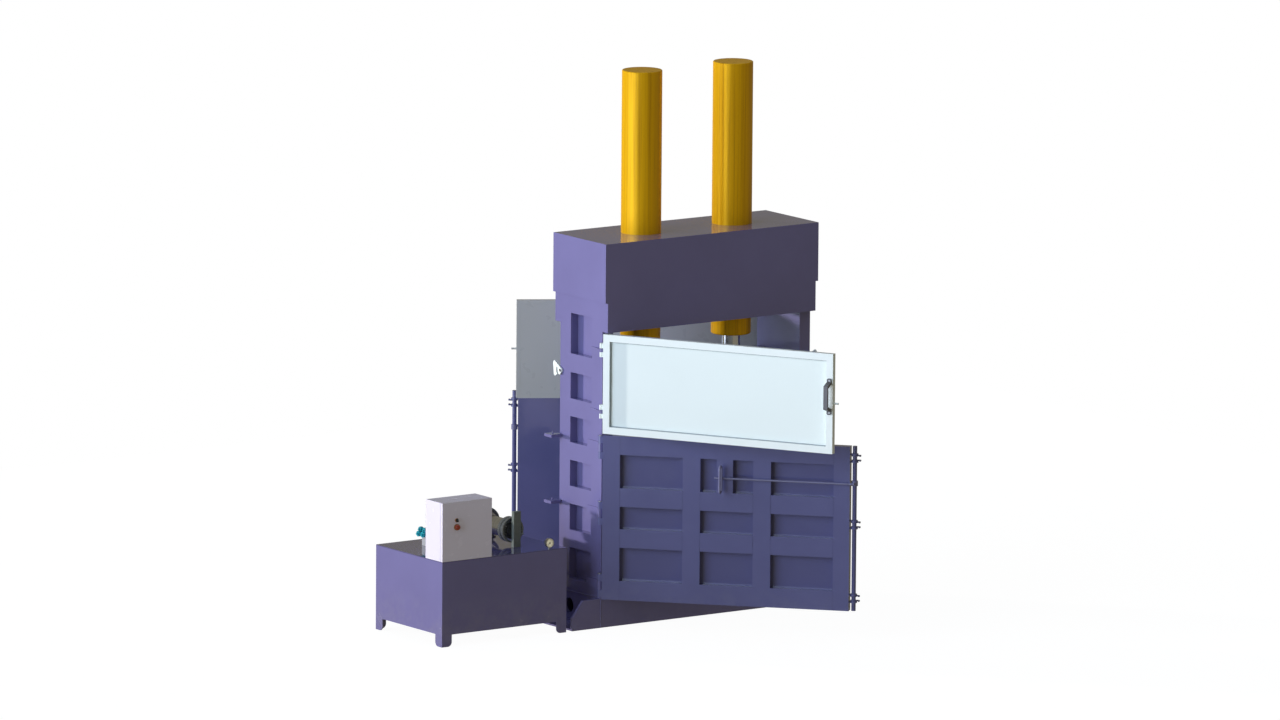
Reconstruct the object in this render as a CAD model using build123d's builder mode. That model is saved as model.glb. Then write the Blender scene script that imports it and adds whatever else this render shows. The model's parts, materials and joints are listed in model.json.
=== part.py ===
"""Twin-cylinder vertical baler with a floor-standing power unit, in millimetres.

The origin is on the floor under the middle of the press. X runs along the chamber, from the
power unit on the left to the right; Y runs from the front doors to the rear doors; Z is up.
The doors stand open, the platen hangs a little below its top stop and the lock levers are folded.
The rear doors are the front doors turned half a turn about Z, at their own opening angles.
"""

from build123d import *
import os

os.makedirs("parts", exist_ok=True)

# Press body
wall_outer_x = 860.0
wall_half_depth = 248.0
ladder_depth = 57.0
ladder_sheet = 8.0
liner_thick = 30.0
wall_top_z = 2229.0
base_top_z = 200.0
window_half_width = 125.0
window_spans = [(288, 498), (620, 798), (920, 1098), (1220, 1398), (1520, 1700), (1828, 2105)]

# Base
outrigger_length = 232.0
base_half_length = wall_outer_x + outrigger_length
base_plate = 20.0
base_floor_plate = 12.0
outrigger_end_height = 89.0
outrigger_slope = 87.0
base_rib_xs = [-640.0, -320.0, 0.0, 320.0, 640.0]
base_rib_hole_r = 50.0
anchor_inset = 62.0
anchor_x = base_half_length - anchor_inset
anchor_y = 170.0
anchor_hole_r = 11.0

# Chamber floor strips and the matching strips under the platen, with strap slots between them
strap_slot = 32.0
strip_count = 6
floor_strip_height = 12.0
platen_strip_height = 25.0

# Crosshead
crosshead_length = 1760.0
crosshead_depth = 620.0
crosshead_top_z = 2632.0
crosshead_plate = 20.0
crosshead_top_plate = 30.0
crosshead_bottom_plate = 40.0
crosshead_rib_xs = [-560.0, -192.0, 192.0, 560.0]
crosshead_rib_hole_r = 90.0
skirt_bottom_z = 2026.0
skirt_plate = 20.0

# Cylinders and rods
cylinder_x = 376.0
barrel_outer_r = 136.5
barrel_bore_r = 115.0
barrel_top_z = 3740.0
gland_bottom_z = 1874.0
gland_collar = 30.0
gland_spigot = 80.0
gland_edge_r = 12.0
cylinder_cap = 60.0
cylinder_flange_r = 200.0
cylinder_flange_thick = 40.0
cylinder_bolt_circle_r = 172.0
cylinder_bolt_count = 12
cylinder_bolt_head_r = 15.0
cylinder_bolt_head = 13.0
pass_through_gap = 0.5
seat_gap = 0.3
rod_r = 65.0
rod_fit = 0.08
piston_length = 120.0
piston_rest_gap = 110.0
piston_rest_bottom_z = barrel_top_z - cylinder_cap - piston_rest_gap - piston_length
rod_flange_r = 115.0
rod_flange_thick = 36.0
rod_bolt_circle_r = 92.0
rod_bolt_count = 8
rod_bolt_head_r = 13.0
rod_bolt_head = 8.0

# Platen
platen_end_gap = 14.0
platen_side_gap = 22.0
platen_half_length = wall_outer_x - ladder_depth - liner_thick - platen_end_gap
platen_half_depth = wall_half_depth - platen_side_gap
platen_top_z = 1720.0
platen_height = 175.0
platen_sheet = 20.0
platen_rib_xs = [-570.0, -190.0, 190.0, 570.0]
platen_rib_hole_r = 40.0
guide_gap = 1.5
guide_length = 60.0
guide_inset = 20.0

# Door hinge line, beside and in front of the corner of the side frame
hinge_out = 22.0
hinge_forward = 20.0
hinge_x = -(wall_outer_x + hinge_out)
hinge_y = -(wall_half_depth + hinge_forward)
door_edge_inset = 20.0
door_seal_gap = 2.0
door_left_x = -wall_outer_x
door_right_x = wall_outer_x - door_edge_inset
door_width = door_right_x - door_left_x
door_inner_y = -(wall_half_depth + door_seal_gap)
pin_fit = 0.08
pin_head = 4.0
pin_head_over = 4.0

# Upper doors
upper_bottom_z = 1342.0
upper_top_z = 2020.0
upper_thick = 38.0
upper_border = 48.0
upper_flange = 22.0
upper_rebate = 20.0
upper_hinge_zs = [1488.0, 1908.0]
upper_knuckle_r = 12.0
upper_pin_r = 6.0
upper_stack = 92.0
upper_lug_barrel = 26.0
upper_lug_plate = 8.0
upper_lug_back_y = -106.0
latch_pin_r = 6.5
latch_pin_reach = 34.0
latch_pin_z = 1683.0
handle_z = 1731.0
handle_height = 246.0
handle_width = 30.0
handle_standoff = 66.0
handle_grip_thick = 16.0
handle_foot = 40.0
handle_foot_thick = 12.0
handle_leg_run = 4.0
handle_grip_round = 6.0
handle_foot_round = 10.0
handle_screw_inset = 14.0
handle_screw_r = 4.5
handle_recess_r = 7.5
handle_recess = 7.0

# Lower doors
lower_bottom_z = 210.0
lower_top_z = 1332.0
lower_thick = 60.0
lower_skin = 10.0
lower_sheet = 6.0
lower_height = lower_top_z - lower_bottom_z
lower_stiles = [(0.0, 121.0), (553.0, 674.0), (1038.0, 1159.0), (door_width - 111.0, door_width)]
lower_rails = [(0.0, 132.0), (360.0, 486.0), (640.0, 767.0), (lower_height - 127.0, lower_height)]
seam_width = 3.0
seam_depth = 2.0
grip_plate_span = (787.0, 898.0)
lower_hinge_zs = [300.0, 794.0, 1245.0]
lower_barrel_r = 18.0
lower_pin_r = 10.0
lower_stack = 156.0
lower_leaf_height = 58.0
lower_leaf_thick = 12.0
lower_leaf_back_y = -95.0
knuckle_gap = 1.0

# Lock bars on the lower doors
lock_out = 28.0
lock_x = door_right_x + lock_out
lock_y = door_inner_y - lower_thick / 2
lock_bar_r = 15.0
lock_bar_over = 2.0
lock_bottom_z = lower_bottom_z
lock_top_z = lower_top_z + lock_bar_over
lock_zs = [295.0, 798.0, 1252.0]
keeper_thick = 20.0
keeper_reach = 89.0
keeper_back_y = -219.0
keeper_front_y = -304.0
keeper_notch_gap = 3.0
keeper_pin_r = 6.0
keeper_pin_offset = 29.0
claw_thick = 9.0
claw_gap = 2.0
claw_hub_r = 22.0
claw_length = 42.0
claw_back = 16.0
claw_front = 14.0
claw_slot = 13.0
eye_r = 24.0
eye_thick = 9.0
eye_gap = 0.3
lever_z = 1080.0
lever_length = 961.0
lever_r = 7.0
lever_gap = 9.0
lever_hub_r = 22.0
lever_hub_height = 34.0
grip_height = 178.0
grip_depth = 58.0
grip_r = 8.0
grip_round = 22.0
grip_along = 902.0

# Gravity latches for the upper doors
latch_thick = 10.0
latch_pivot_y = -229.0
latch_pivot_z = 1698.0
latch_slot_r = 43.0
latch_slot = 16.0
latch_eye_r = 15.0
latch_peg_r = 5.0
latch_peg_place = (5.0, -24.3)
latch_stud_r = 6.0
latch_stand = 2.0
latch_head_r = 10.0
latch_head = 5.0

# Opening angles that the doors rest at, from closed
front_upper_angle = -60.4
front_lower_angle = -47.45
rear_upper_angle = -31.9
rear_lower_angle = -42.8

# Power unit
tank_left_x = -2158.0
tank_right_x = -1145.0
tank_front_y = -253.0
tank_rear_y = 540.0
tank_top_z = 581.0
tank_sheet = 6.0
tank_leg_height = 81.0
tank_leg_width = 80.0
tank_leg_round = 32.0

cabinet_width = 400.0
cabinet_depth = 200.0
cabinet_height = 400.0
cabinet_sheet = 2.0
cabinet_door_depth = 24.0
cabinet_seal = 3.0
cabinet_lip = 14.0
cabinet_hinge_zs = [661.0, 901.0]
cabinet_hinge_r = 5.0
cabinet_hinge_pin_r = 2.5
cabinet_hinge_height = 50.0
cabinet_leaf = 2.0
cabinet_leaf_run = 22.0
cabinet_panel_sheet = 3.0
cabinet_panel_inset = 30.0
cabinet_panel_stand = 12.0
panel_post_r = 5.0
panel_post_inset = 10.0
switch_rail_inset = 30.0
switch_rail_height = 35.0
switch_rail_depth = 7.0
switch_row_drop = 32.0
switch_row_pitch = 120.0
switch_rows = [(45.0, 45.0, 45.0, 70.0), (90.0, 36.0, 36.0, 36.0, 36.0)]
switch_start = 10.0
switch_gap = 2.0
switch_body = (62.0, 78.0)
switch_nose = (76.0, 42.0)
control_offset = 114.0
stop_button_z = 810.0
selector_z = 857.0
stop_button_r = 18.0
stop_collar_r = 22.0
stop_stem_r = 8.0
stop_travel = 4.0
stop_cap_depth = 14.0
stop_cap_round = 6.0
selector_r = 11.0
selector_dial = 6.0
selector_grip = 9.0
selector_grip_width = 7.0
selector_collar_r = 14.0
control_nut_r = 13.0
control_collar = 5.0
control_neck = 14.0
control_nut = 6.0
control_fit = 0.08

drive_x = -1416.0
drive_z = 690.0
pump_face_y = -8.0
pump_cover_r = 86.0
pump_cover_length = 62.0
pump_barrel_r = 62.0
motor_front_y = 304.0
motor_flange_r = 108.0
motor_flange_thick = 16.0
motor_body_r = 90.0
motor_fin_r = 102.0
motor_fin_count = 28
motor_fin_thick = 5.0
motor_body_length = 170.0
motor_cover_r = 102.0
motor_cover_length = 44.0
motor_foot_width = 190.0
motor_foot_length = 140.0
motor_foot_plate = 8.0
motor_box_size = (96.0, 110.0, 44.0)

cooler_left_x = -1446.0
cooler_front_y = -62.0
cooler_size = (58.0, 30.0, 243.0)
cooler_handle_r = 5.0

manifold_left_x = -1913.0
manifold_rear_y = 354.0
manifold_size = (110.0, 104.0, 65.0)
valve_body_size = (64.0, 42.0, 50.0)
valve_inset = 6.0
valve_edge = 26.0
valve_pitch = 52.0
valve_coil_r = 19.0
valve_coil_length = 56.0
valve_coil_rise = 2.0
valve_nut_r = 8.5
valve_nut = 10.0
valve_top_height = 36.0
valve_top_nut_r = 10.5
valve_top_nut = 8.0

gauge_x = -1272.0
gauge_y = -215.0
gauge_z = 622.0
gauge_r = 32.0
gauge_depth = 24.0
gauge_rim = 3.0
gauge_recess = 4.0
gauge_back_round = 5.0
gauge_card = 1.0
gauge_stem_r = 7.0

# Half a turn about Z carries a front piece to the rear
rear = Location((0, 0, 0), (0, 0, 180))


def save(piece, label, place=Location()):
    """Label a finished piece at its place and write it."""
    placed = piece.moved(place)
    placed.label = label
    export_step(placed, f"parts/{label}.step")


def opened(angle):
    """The move that swings a closed front door about its hinge line by an angle."""
    swing = Location((hinge_x, hinge_y, 0), (0, 0, angle))
    return swing * Location((-hinge_x, -hinge_y, 0))


def both_ends(piece, label):
    """Write a front piece and its half-turned twin as one group."""
    save(Compound(children=[piece, piece.moved(rear)]), label)


def both_cylinders(piece, label):
    """Write a piece drawn about the Z axis once at each cylinder."""
    twins = [piece.moved(Location((x, 0, 0))) for x in (-cylinder_x, cylinder_x)]
    save(Compound(children=twins), label)


# Strips lie across the chamber with equal strap slots between them
def strip_layout(half_length):
    """Width and middles of the strips that share a length with slots between them."""
    width = (2 * half_length - (strip_count - 1) * strap_slot) / strip_count
    first = -half_length + width / 2
    return width, [first + i * (width + strap_slot) for i in range(strip_count)]


# Base frame: front and rear plates joined by a floor plate and cross ribs
with BuildPart() as base_frame:
    Box(
        2 * wall_outer_x, 2 * wall_half_depth, base_floor_plate,
        align=(Align.CENTER, Align.CENTER, Align.MIN),
    )
    with Locations(
        (0, wall_half_depth - base_plate / 2, 0), (0, -wall_half_depth + base_plate / 2, 0)
    ):
        Box(
            2 * wall_outer_x, base_plate, base_top_z - base_floor_plate,
            align=(Align.CENTER, Align.CENTER, Align.MIN),
        )
    end_x = wall_outer_x - base_plate / 2
    with Locations([(x, 0, 0) for x in [-end_x] + base_rib_xs + [end_x]]):
        Box(
            base_plate, 2 * wall_half_depth, base_top_z - base_floor_plate,
            align=(Align.CENTER, Align.CENTER, Align.MIN),
        )
    with BuildSketch(Plane.YZ.offset(-wall_outer_x)):
        with Locations((-wall_half_depth / 2, base_top_z / 2), (wall_half_depth / 2, base_top_z / 2)):
            Circle(base_rib_hole_r)
    extrude(amount=2 * wall_outer_x, mode=Mode.SUBTRACT)
base_frame.part.label = "base_frame"
export_step(base_frame.part, "parts/base_frame.step")

# Outriggers: sloped gussets on a foot plate beyond each side frame
with BuildPart() as outrigger:
    with BuildSketch(Plane.XZ.offset(wall_half_depth)) as gusset:
        Polygon(
            (-base_half_length, 0),
            (-wall_outer_x, 0),
            (-wall_outer_x, base_top_z),
            (-base_half_length + outrigger_slope, base_top_z),
            (-base_half_length, outrigger_end_height),
            align=None,
        )
    extrude(amount=-base_plate)
    mirror(about=Plane.XZ)
    with Locations((-base_half_length, 0, 0)):
        Box(
            base_half_length - wall_outer_x, 2 * wall_half_depth, base_floor_plate,
            align=(Align.MIN, Align.CENTER, Align.MIN),
        )
    with BuildSketch(Plane.XY):
        with Locations((-anchor_x, -anchor_y), (-anchor_x, anchor_y)):
            Circle(anchor_hole_r)
    extrude(amount=base_floor_plate, mode=Mode.SUBTRACT)
both_ends(outrigger.part, "outriggers")

# Chamber floor: a plate on the base, and strips that leave slots for the strapping
with BuildPart() as chamber_floor:
    with Locations((0, 0, base_top_z - base_floor_plate)):
        Box(
            2 * wall_outer_x, 2 * wall_half_depth, base_floor_plate,
            align=(Align.CENTER, Align.CENTER, Align.MIN),
        )
chamber_floor.part.label = "chamber_floor"
export_step(chamber_floor.part, "parts/chamber_floor.step")

chamber_half_length = wall_outer_x - ladder_depth - liner_thick
strip_width, strip_xs = strip_layout(chamber_half_length - seat_gap)
with BuildPart() as floor_strips:
    with Locations([(x, 0, base_top_z) for x in strip_xs]):
        Box(
            strip_width, 2 * wall_half_depth, floor_strip_height,
            align=(Align.CENTER, Align.CENTER, Align.MIN),
        )
floor_strips.part.label = "floor_strips"
export_step(floor_strips.part, "parts/floor_strips.step")

# Side frames: a ladder of folded channel on a thick liner plate
with BuildPart() as side_ladder:
    with BuildSketch(Plane.YZ.offset(-wall_outer_x)):
        with Locations((0, (base_top_z + wall_top_z) / 2)):
            Rectangle(2 * wall_half_depth, wall_top_z - base_top_z)
        for low, high in window_spans:
            with Locations((0, (low + high) / 2)):
                Rectangle(2 * window_half_width, high - low, mode=Mode.SUBTRACT)
    extrude(amount=ladder_depth)
    ladder_back = side_ladder.faces().sort_by(Axis.X)[-1]
    offset(amount=-ladder_sheet, openings=ladder_back)
with BuildPart() as side_liner:
    with Locations((-wall_outer_x + ladder_depth, 0, base_top_z)):
        Box(
            liner_thick, 2 * wall_half_depth, wall_top_z - base_top_z,
            align=(Align.MIN, Align.CENTER, Align.MIN),
        )
save(side_ladder.part, "side_ladder_left")
save(side_ladder.part, "side_ladder_right", rear)
both_ends(side_liner.part, "side_liners")

# Crosshead: a box girder with ribs beside each cylinder, bored through for both
with BuildPart() as crosshead:
    with Locations((0, 0, wall_top_z)):
        Box(
            crosshead_length, crosshead_depth, crosshead_top_z - wall_top_z,
            align=(Align.CENTER, Align.CENTER, Align.MIN),
        )
    bay_height = crosshead_top_z - wall_top_z - crosshead_top_plate - crosshead_bottom_plate
    with Locations((0, 0, wall_top_z + crosshead_bottom_plate)):
        Box(
            crosshead_length - 2 * crosshead_plate, crosshead_depth - 2 * crosshead_plate,
            bay_height, align=(Align.CENTER, Align.CENTER, Align.MIN), mode=Mode.SUBTRACT,
        )
    with Locations([(x, 0, wall_top_z + crosshead_bottom_plate) for x in crosshead_rib_xs]):
        Box(
            crosshead_plate, crosshead_depth - 2 * crosshead_plate, bay_height,
            align=(Align.CENTER, Align.CENTER, Align.MIN),
        )
    with BuildSketch(Plane.YZ.offset(crosshead_rib_xs[0] - crosshead_plate)):
        with Locations((0, wall_top_z + crosshead_bottom_plate + bay_height / 2)):
            Circle(crosshead_rib_hole_r)
    extrude(amount=crosshead_rib_xs[-1] - crosshead_rib_xs[0] + 2 * crosshead_plate, mode=Mode.SUBTRACT)
    with BuildSketch(Plane.XY.offset(wall_top_z)):
        with Locations((-cylinder_x, 0), (cylinder_x, 0)):
            Circle(barrel_outer_r + pass_through_gap)
    extrude(amount=crosshead_top_z - wall_top_z, mode=Mode.SUBTRACT)
crosshead.part.label = "crosshead"
export_step(crosshead.part, "parts/crosshead.step")

# Skirt: a plate across the front with returns back to the side frames, and its twin at the rear
with BuildPart() as skirt:
    with BuildSketch(Plane.XY.offset(skirt_bottom_z)):
        skirt_return = crosshead_depth / 2 - wall_half_depth
        with Locations((0, -wall_half_depth - skirt_return / 2)):
            Rectangle(2 * wall_outer_x, skirt_return)
        with Locations((0, -wall_half_depth - (skirt_return - skirt_plate) / 2)):
            Rectangle(
                2 * (wall_outer_x - skirt_plate), skirt_return - skirt_plate, mode=Mode.SUBTRACT
            )
    extrude(amount=wall_top_z - skirt_bottom_z)
both_ends(skirt.part, "crosshead_skirts")

# Cylinder: a capped tube with a bolting flange under the crosshead
barrel_bottom_z = gland_bottom_z + gland_collar
flange_top_z = wall_top_z
with BuildPart() as cylinder:
    with BuildSketch(Plane.XZ):
        Polygon(
            (barrel_bore_r, barrel_bottom_z),
            (barrel_outer_r, barrel_bottom_z),
            (barrel_outer_r, flange_top_z - cylinder_flange_thick),
            (cylinder_flange_r, flange_top_z - cylinder_flange_thick),
            (cylinder_flange_r, flange_top_z),
            (barrel_outer_r, flange_top_z),
            (barrel_outer_r, barrel_top_z),
            (0, barrel_top_z),
            (0, barrel_top_z - cylinder_cap),
            (barrel_bore_r, barrel_top_z - cylinder_cap),
            align=None,
        )
    revolve(axis=Axis.Z)
    cap_rim = cylinder.edges().filter_by(GeomType.CIRCLE).sort_by(Axis.Z)[-1]
    chamfer(cap_rim, length=4)
with BuildPart() as gland:
    with BuildSketch(Plane.XZ):
        Polygon(
            (rod_r + rod_fit, gland_bottom_z),
            (barrel_outer_r, gland_bottom_z),
            (barrel_outer_r, barrel_bottom_z),
            (barrel_bore_r - seat_gap, barrel_bottom_z),
            (barrel_bore_r - seat_gap, barrel_bottom_z + gland_spigot),
            (rod_r + rod_fit, barrel_bottom_z + gland_spigot),
            align=None,
        )
    revolve(axis=Axis.Z)
    lower_rims = gland.edges().filter_by(GeomType.CIRCLE).group_by(Axis.Z)[0]
    fillet(lower_rims.sort_by(SortBy.RADIUS)[-1], radius=gland_edge_r)
with BuildPart() as cylinder_bolts:
    with BuildSketch(Plane.XY.offset(flange_top_z - cylinder_flange_thick)):
        with PolarLocations(cylinder_bolt_circle_r, cylinder_bolt_count):
            RegularPolygon(cylinder_bolt_head_r, 6)
    extrude(amount=-cylinder_bolt_head)
both_cylinders(cylinder.part, "cylinders")
both_cylinders(gland.part, "cylinder_glands")
both_cylinders(cylinder_bolts.part, "cylinder_bolts")

# Rod: chromed, with a forged flange that bolts to the platen, and a piston on its upper end
with BuildPart() as rod:
    with BuildSketch(Plane.XY.offset(platen_top_z)):
        Circle(rod_r)
    extrude(amount=piston_rest_bottom_z - platen_top_z)
    with BuildSketch(Plane.XY.offset(platen_top_z)):
        Circle(rod_flange_r)
    extrude(amount=rod_flange_thick)
    flange_rim = rod.edges().filter_by(GeomType.CIRCLE).group_by(SortBy.RADIUS)[-1]
    chamfer(flange_rim.sort_by(Axis.Z)[-1], length=4)
with BuildPart() as piston:
    with BuildSketch(Plane.XY.offset(piston_rest_bottom_z)):
        Circle(barrel_bore_r - rod_fit)
    extrude(amount=piston_length)
with BuildPart() as rod_bolts:
    with BuildSketch(Plane.XY.offset(platen_top_z + rod_flange_thick)):
        with PolarLocations(rod_bolt_circle_r, rod_bolt_count):
            RegularPolygon(rod_bolt_head_r, 6)
    extrude(amount=rod_bolt_head)
both_cylinders(rod.part, "rods")
both_cylinders(piston.part, "pistons")
both_cylinders(rod_bolts.part, "rod_bolts")

# Platen: a ribbed box, with strips below it and guide pads at its ends
platen_bottom_z = platen_top_z - platen_height
with BuildPart() as platen:
    with Locations((0, 0, platen_bottom_z)):
        Box(
            2 * platen_half_length, 2 * platen_half_depth, platen_height,
            align=(Align.CENTER, Align.CENTER, Align.MIN),
        )
    with Locations((0, 0, platen_bottom_z + platen_sheet)):
        Box(
            2 * (platen_half_length - platen_sheet), 2 * (platen_half_depth - platen_sheet),
            platen_height - 2 * platen_sheet,
            align=(Align.CENTER, Align.CENTER, Align.MIN), mode=Mode.SUBTRACT,
        )
    with Locations([(x, 0, platen_bottom_z + platen_sheet) for x in platen_rib_xs]):
        Box(
            platen_sheet, 2 * (platen_half_depth - platen_sheet), platen_height - 2 * platen_sheet,
            align=(Align.CENTER, Align.CENTER, Align.MIN),
        )
    with BuildSketch(Plane.YZ.offset(-platen_half_length)):
        with Locations((0, platen_bottom_z + platen_height / 2)):
            Circle(platen_rib_hole_r)
    extrude(amount=2 * platen_half_length, mode=Mode.SUBTRACT)
platen.part.label = "platen"
export_step(platen.part, "parts/platen.step")

with BuildPart() as platen_strips:
    with Locations([(x, 0, platen_bottom_z - platen_strip_height) for x in strip_xs]):
        Box(
            strip_width - 2 * (chamber_half_length - platen_half_length), 2 * platen_half_depth,
            platen_strip_height, align=(Align.CENTER, Align.CENTER, Align.MIN),
        )
platen_strips.part.label = "platen_strips"
export_step(platen_strips.part, "parts/platen_strips.step")

with BuildPart() as platen_guides:
    guide_thick = chamber_half_length - guide_gap - platen_half_length
    guide_y = platen_half_depth - guide_inset - guide_length / 2
    for x in (-1, 1):
        with Locations([(x * (platen_half_length + guide_thick / 2), y, platen_bottom_z)
                        for y in (-guide_y, guide_y)]):
            Box(
                guide_thick, guide_length, platen_height,
                align=(Align.CENTER, Align.CENTER, Align.MIN),
            )
platen_guides.part.label = "platen_guides"
export_step(platen_guides.part, "parts/platen_guides.step")

# Upper door: a white tube frame around a recessed sheet, with two pairs of hinge knuckles
with BuildPart() as upper_frame:
    with BuildSketch(Plane.XZ.offset(-door_inner_y + upper_thick - upper_flange)):
        with Locations(((door_left_x + door_right_x) / 2, (upper_bottom_z + upper_top_z) / 2)):
            Rectangle(door_width, upper_top_z - upper_bottom_z)
            Rectangle(
                door_width - 2 * upper_border, upper_top_z - upper_bottom_z - 2 * upper_border,
                mode=Mode.SUBTRACT,
            )
    extrude(amount=upper_flange)
    rebate_border = upper_border - upper_rebate
    with BuildSketch(Plane.XZ.offset(-door_inner_y)):
        with Locations(((door_left_x + door_right_x) / 2, (upper_bottom_z + upper_top_z) / 2)):
            Rectangle(door_width, upper_top_z - upper_bottom_z)
            Rectangle(
                door_width - 2 * rebate_border, upper_top_z - upper_bottom_z - 2 * rebate_border,
                mode=Mode.SUBTRACT,
            )
    extrude(amount=upper_thick - upper_flange)
    knuckle_height = (upper_stack - upper_lug_barrel) / 2 - knuckle_gap
    for z in upper_hinge_zs:
        for low in (z + upper_lug_barrel / 2 + knuckle_gap, z - upper_stack / 2):
            with BuildSketch(Plane.XY.offset(low)):
                with Locations((hinge_x, hinge_y)):
                    Circle(upper_knuckle_r)
                with Locations((hinge_x + hinge_out / 2, hinge_y)):
                    Rectangle(hinge_out, upper_knuckle_r)
                with Locations((hinge_x, hinge_y)):
                    Circle(upper_pin_r + pin_fit, mode=Mode.SUBTRACT)
            extrude(amount=knuckle_height)
    with BuildSketch(Plane.YZ.offset(door_right_x)):
        with Locations((door_inner_y - upper_thick / 2, latch_pin_z)):
            Circle(latch_pin_r)
    extrude(amount=latch_pin_reach)

with BuildPart() as upper_panel:
    panel_border = rebate_border + seat_gap
    with BuildSketch(Plane.XZ.offset(-door_inner_y)):
        with Locations(((door_left_x + door_right_x) / 2, (upper_bottom_z + upper_top_z) / 2)):
            Rectangle(
                door_width - 2 * panel_border, upper_top_z - upper_bottom_z - 2 * panel_border
            )
    extrude(amount=upper_thick - upper_flange)

# Pull handle: a cast bow whose side view is drawn and given its width
with BuildPart() as upper_handle:
    handle_face_y = door_inner_y - upper_thick
    half = handle_height / 2
    with BuildSketch(Plane.YZ.offset(door_right_x - upper_border / 2 - handle_width / 2)):
        with BuildLine():
            Polyline(
                (handle_face_y, handle_z - half),
                (handle_face_y - handle_foot_thick, handle_z - half),
                (handle_face_y - handle_foot_thick, handle_z - half + handle_foot * 0.6),
                (handle_face_y - handle_standoff, handle_z - half + handle_foot + handle_leg_run),
                (handle_face_y - handle_standoff, handle_z + half - handle_foot - handle_leg_run),
                (handle_face_y - handle_foot_thick, handle_z + half - handle_foot * 0.6),
                (handle_face_y - handle_foot_thick, handle_z + half),
                (handle_face_y, handle_z + half),
                (handle_face_y, handle_z + half - handle_foot),
                (handle_face_y - handle_standoff + handle_grip_thick,
                 handle_z + half - handle_foot - handle_leg_run - handle_grip_thick),
                (handle_face_y - handle_standoff + handle_grip_thick,
                 handle_z - half + handle_foot + handle_leg_run + handle_grip_thick),
                (handle_face_y, handle_z - half + handle_foot),
                close=True,
            )
        make_face()
    extrude(amount=handle_width)
    fillet(upper_handle.edges().filter_by(Axis.X).group_by(Axis.Y)[0], radius=handle_grip_round)
    for foot_end in (0, -1):
        foot_corners = upper_handle.edges().filter_by(Axis.Y).group_by(Axis.Z)[foot_end]
        fillet(foot_corners, radius=handle_foot_round)
    # Each foot has a screw hole with a recess for the screw's head
    handle_x = door_right_x - upper_border / 2
    screw_zs = (handle_z - half + handle_screw_inset, handle_z + half - handle_screw_inset)
    for depth, radius in ((handle_foot_thick, handle_screw_r), (handle_recess, handle_recess_r)):
        with BuildSketch(Plane.XZ.offset(-handle_face_y + handle_foot_thick)):
            with Locations(*[(handle_x, z) for z in screw_zs]):
                Circle(radius)
        extrude(amount=-depth, mode=Mode.SUBTRACT)

# Lower door: folded stiles and rails over a plain sheet, with three pairs of hinge barrels
lower_outer_y = door_inner_y - lower_thick
with BuildPart() as lower_grid:
    with BuildSketch(Plane.XZ.offset(-door_inner_y + lower_skin)):
        with Locations((door_left_x, lower_bottom_z)):
            for left, right in lower_stiles:
                with Locations(((left + right) / 2, lower_height / 2)):
                    Rectangle(right - left, lower_height)
            for low, high in lower_rails:
                with Locations((door_width / 2, (low + high) / 2)):
                    Rectangle(door_width, high - low)
            plate_left, plate_right = grip_plate_span
            with Locations(((plate_left + plate_right) / 2, (lower_rails[2][1] + lower_rails[3][0]) / 2)):
                Rectangle(plate_right - plate_left, lower_rails[3][0] - lower_rails[2][1])
    extrude(amount=lower_thick - lower_skin)
    grid_back = lower_grid.faces().sort_by(Axis.Y)[-1]
    offset(amount=-lower_sheet, openings=grid_back)
    # Open seams where the rails butt against the stiles
    with BuildSketch(Plane.XZ.offset(-lower_outer_y)):
        with Locations((door_left_x, lower_bottom_z)):
            for seam_x in (lower_stiles[0][1], lower_stiles[3][0]):
                with Locations((seam_x, lower_height / 2)):
                    Rectangle(seam_width, lower_height)
            for seam_x in (*lower_stiles[1], *lower_stiles[2]):
                for low, high in lower_rails[1:3]:
                    with Locations((seam_x, (low + high) / 2)):
                        Rectangle(seam_width, high - low)
    extrude(amount=-seam_depth, mode=Mode.SUBTRACT)
    barrel_height = (lower_stack - lower_leaf_height) / 2 - knuckle_gap
    for z in lower_hinge_zs:
        for low in (z + lower_leaf_height / 2 + knuckle_gap, z - lower_stack / 2):
            with BuildSketch(Plane.XY.offset(low)):
                with Locations((hinge_x, hinge_y)):
                    Circle(lower_barrel_r)
                with Locations((hinge_x + hinge_out / 2, hinge_y - lower_barrel_r / 2)):
                    Rectangle(hinge_out, lower_barrel_r)
                with Locations((hinge_x, hinge_y)):
                    Circle(lower_pin_r + pin_fit, mode=Mode.SUBTRACT)
            extrude(amount=barrel_height)
    # Eyes on the free edge carry the lock bar above and below each keeper
    eye_near = keeper_thick / 2 + claw_gap + claw_thick + eye_gap
    for z in lock_zs:
        for low in (z + eye_near, z - eye_near - eye_thick):
            with BuildSketch(Plane.XY.offset(low)):
                with Locations((lock_x, lock_y)):
                    Circle(eye_r)
                with Locations(((door_right_x + lock_x) / 2, lock_y)):
                    Rectangle(lock_x - door_right_x, eye_r)
                with Locations((lock_x, lock_y)):
                    Circle(lock_bar_r + pin_fit, mode=Mode.SUBTRACT)
            extrude(amount=eye_thick)
    # A pad on the grip plate stops the folded lever
    with BuildSketch(Plane.XZ.offset(-lower_outer_y)):
        with Locations((door_left_x + (plate_left + plate_right) / 2 + 30, lever_z)):
            Rectangle(20, 30)
    extrude(amount=lever_gap - seat_gap)

with BuildPart() as lower_skin_sheet:
    with BuildSketch(Plane.XZ.offset(-door_inner_y)):
        with Locations(((door_left_x + door_right_x) / 2, (lower_bottom_z + lower_top_z) / 2)):
            Rectangle(door_width, lower_height)
    extrude(amount=lower_skin)

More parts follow.
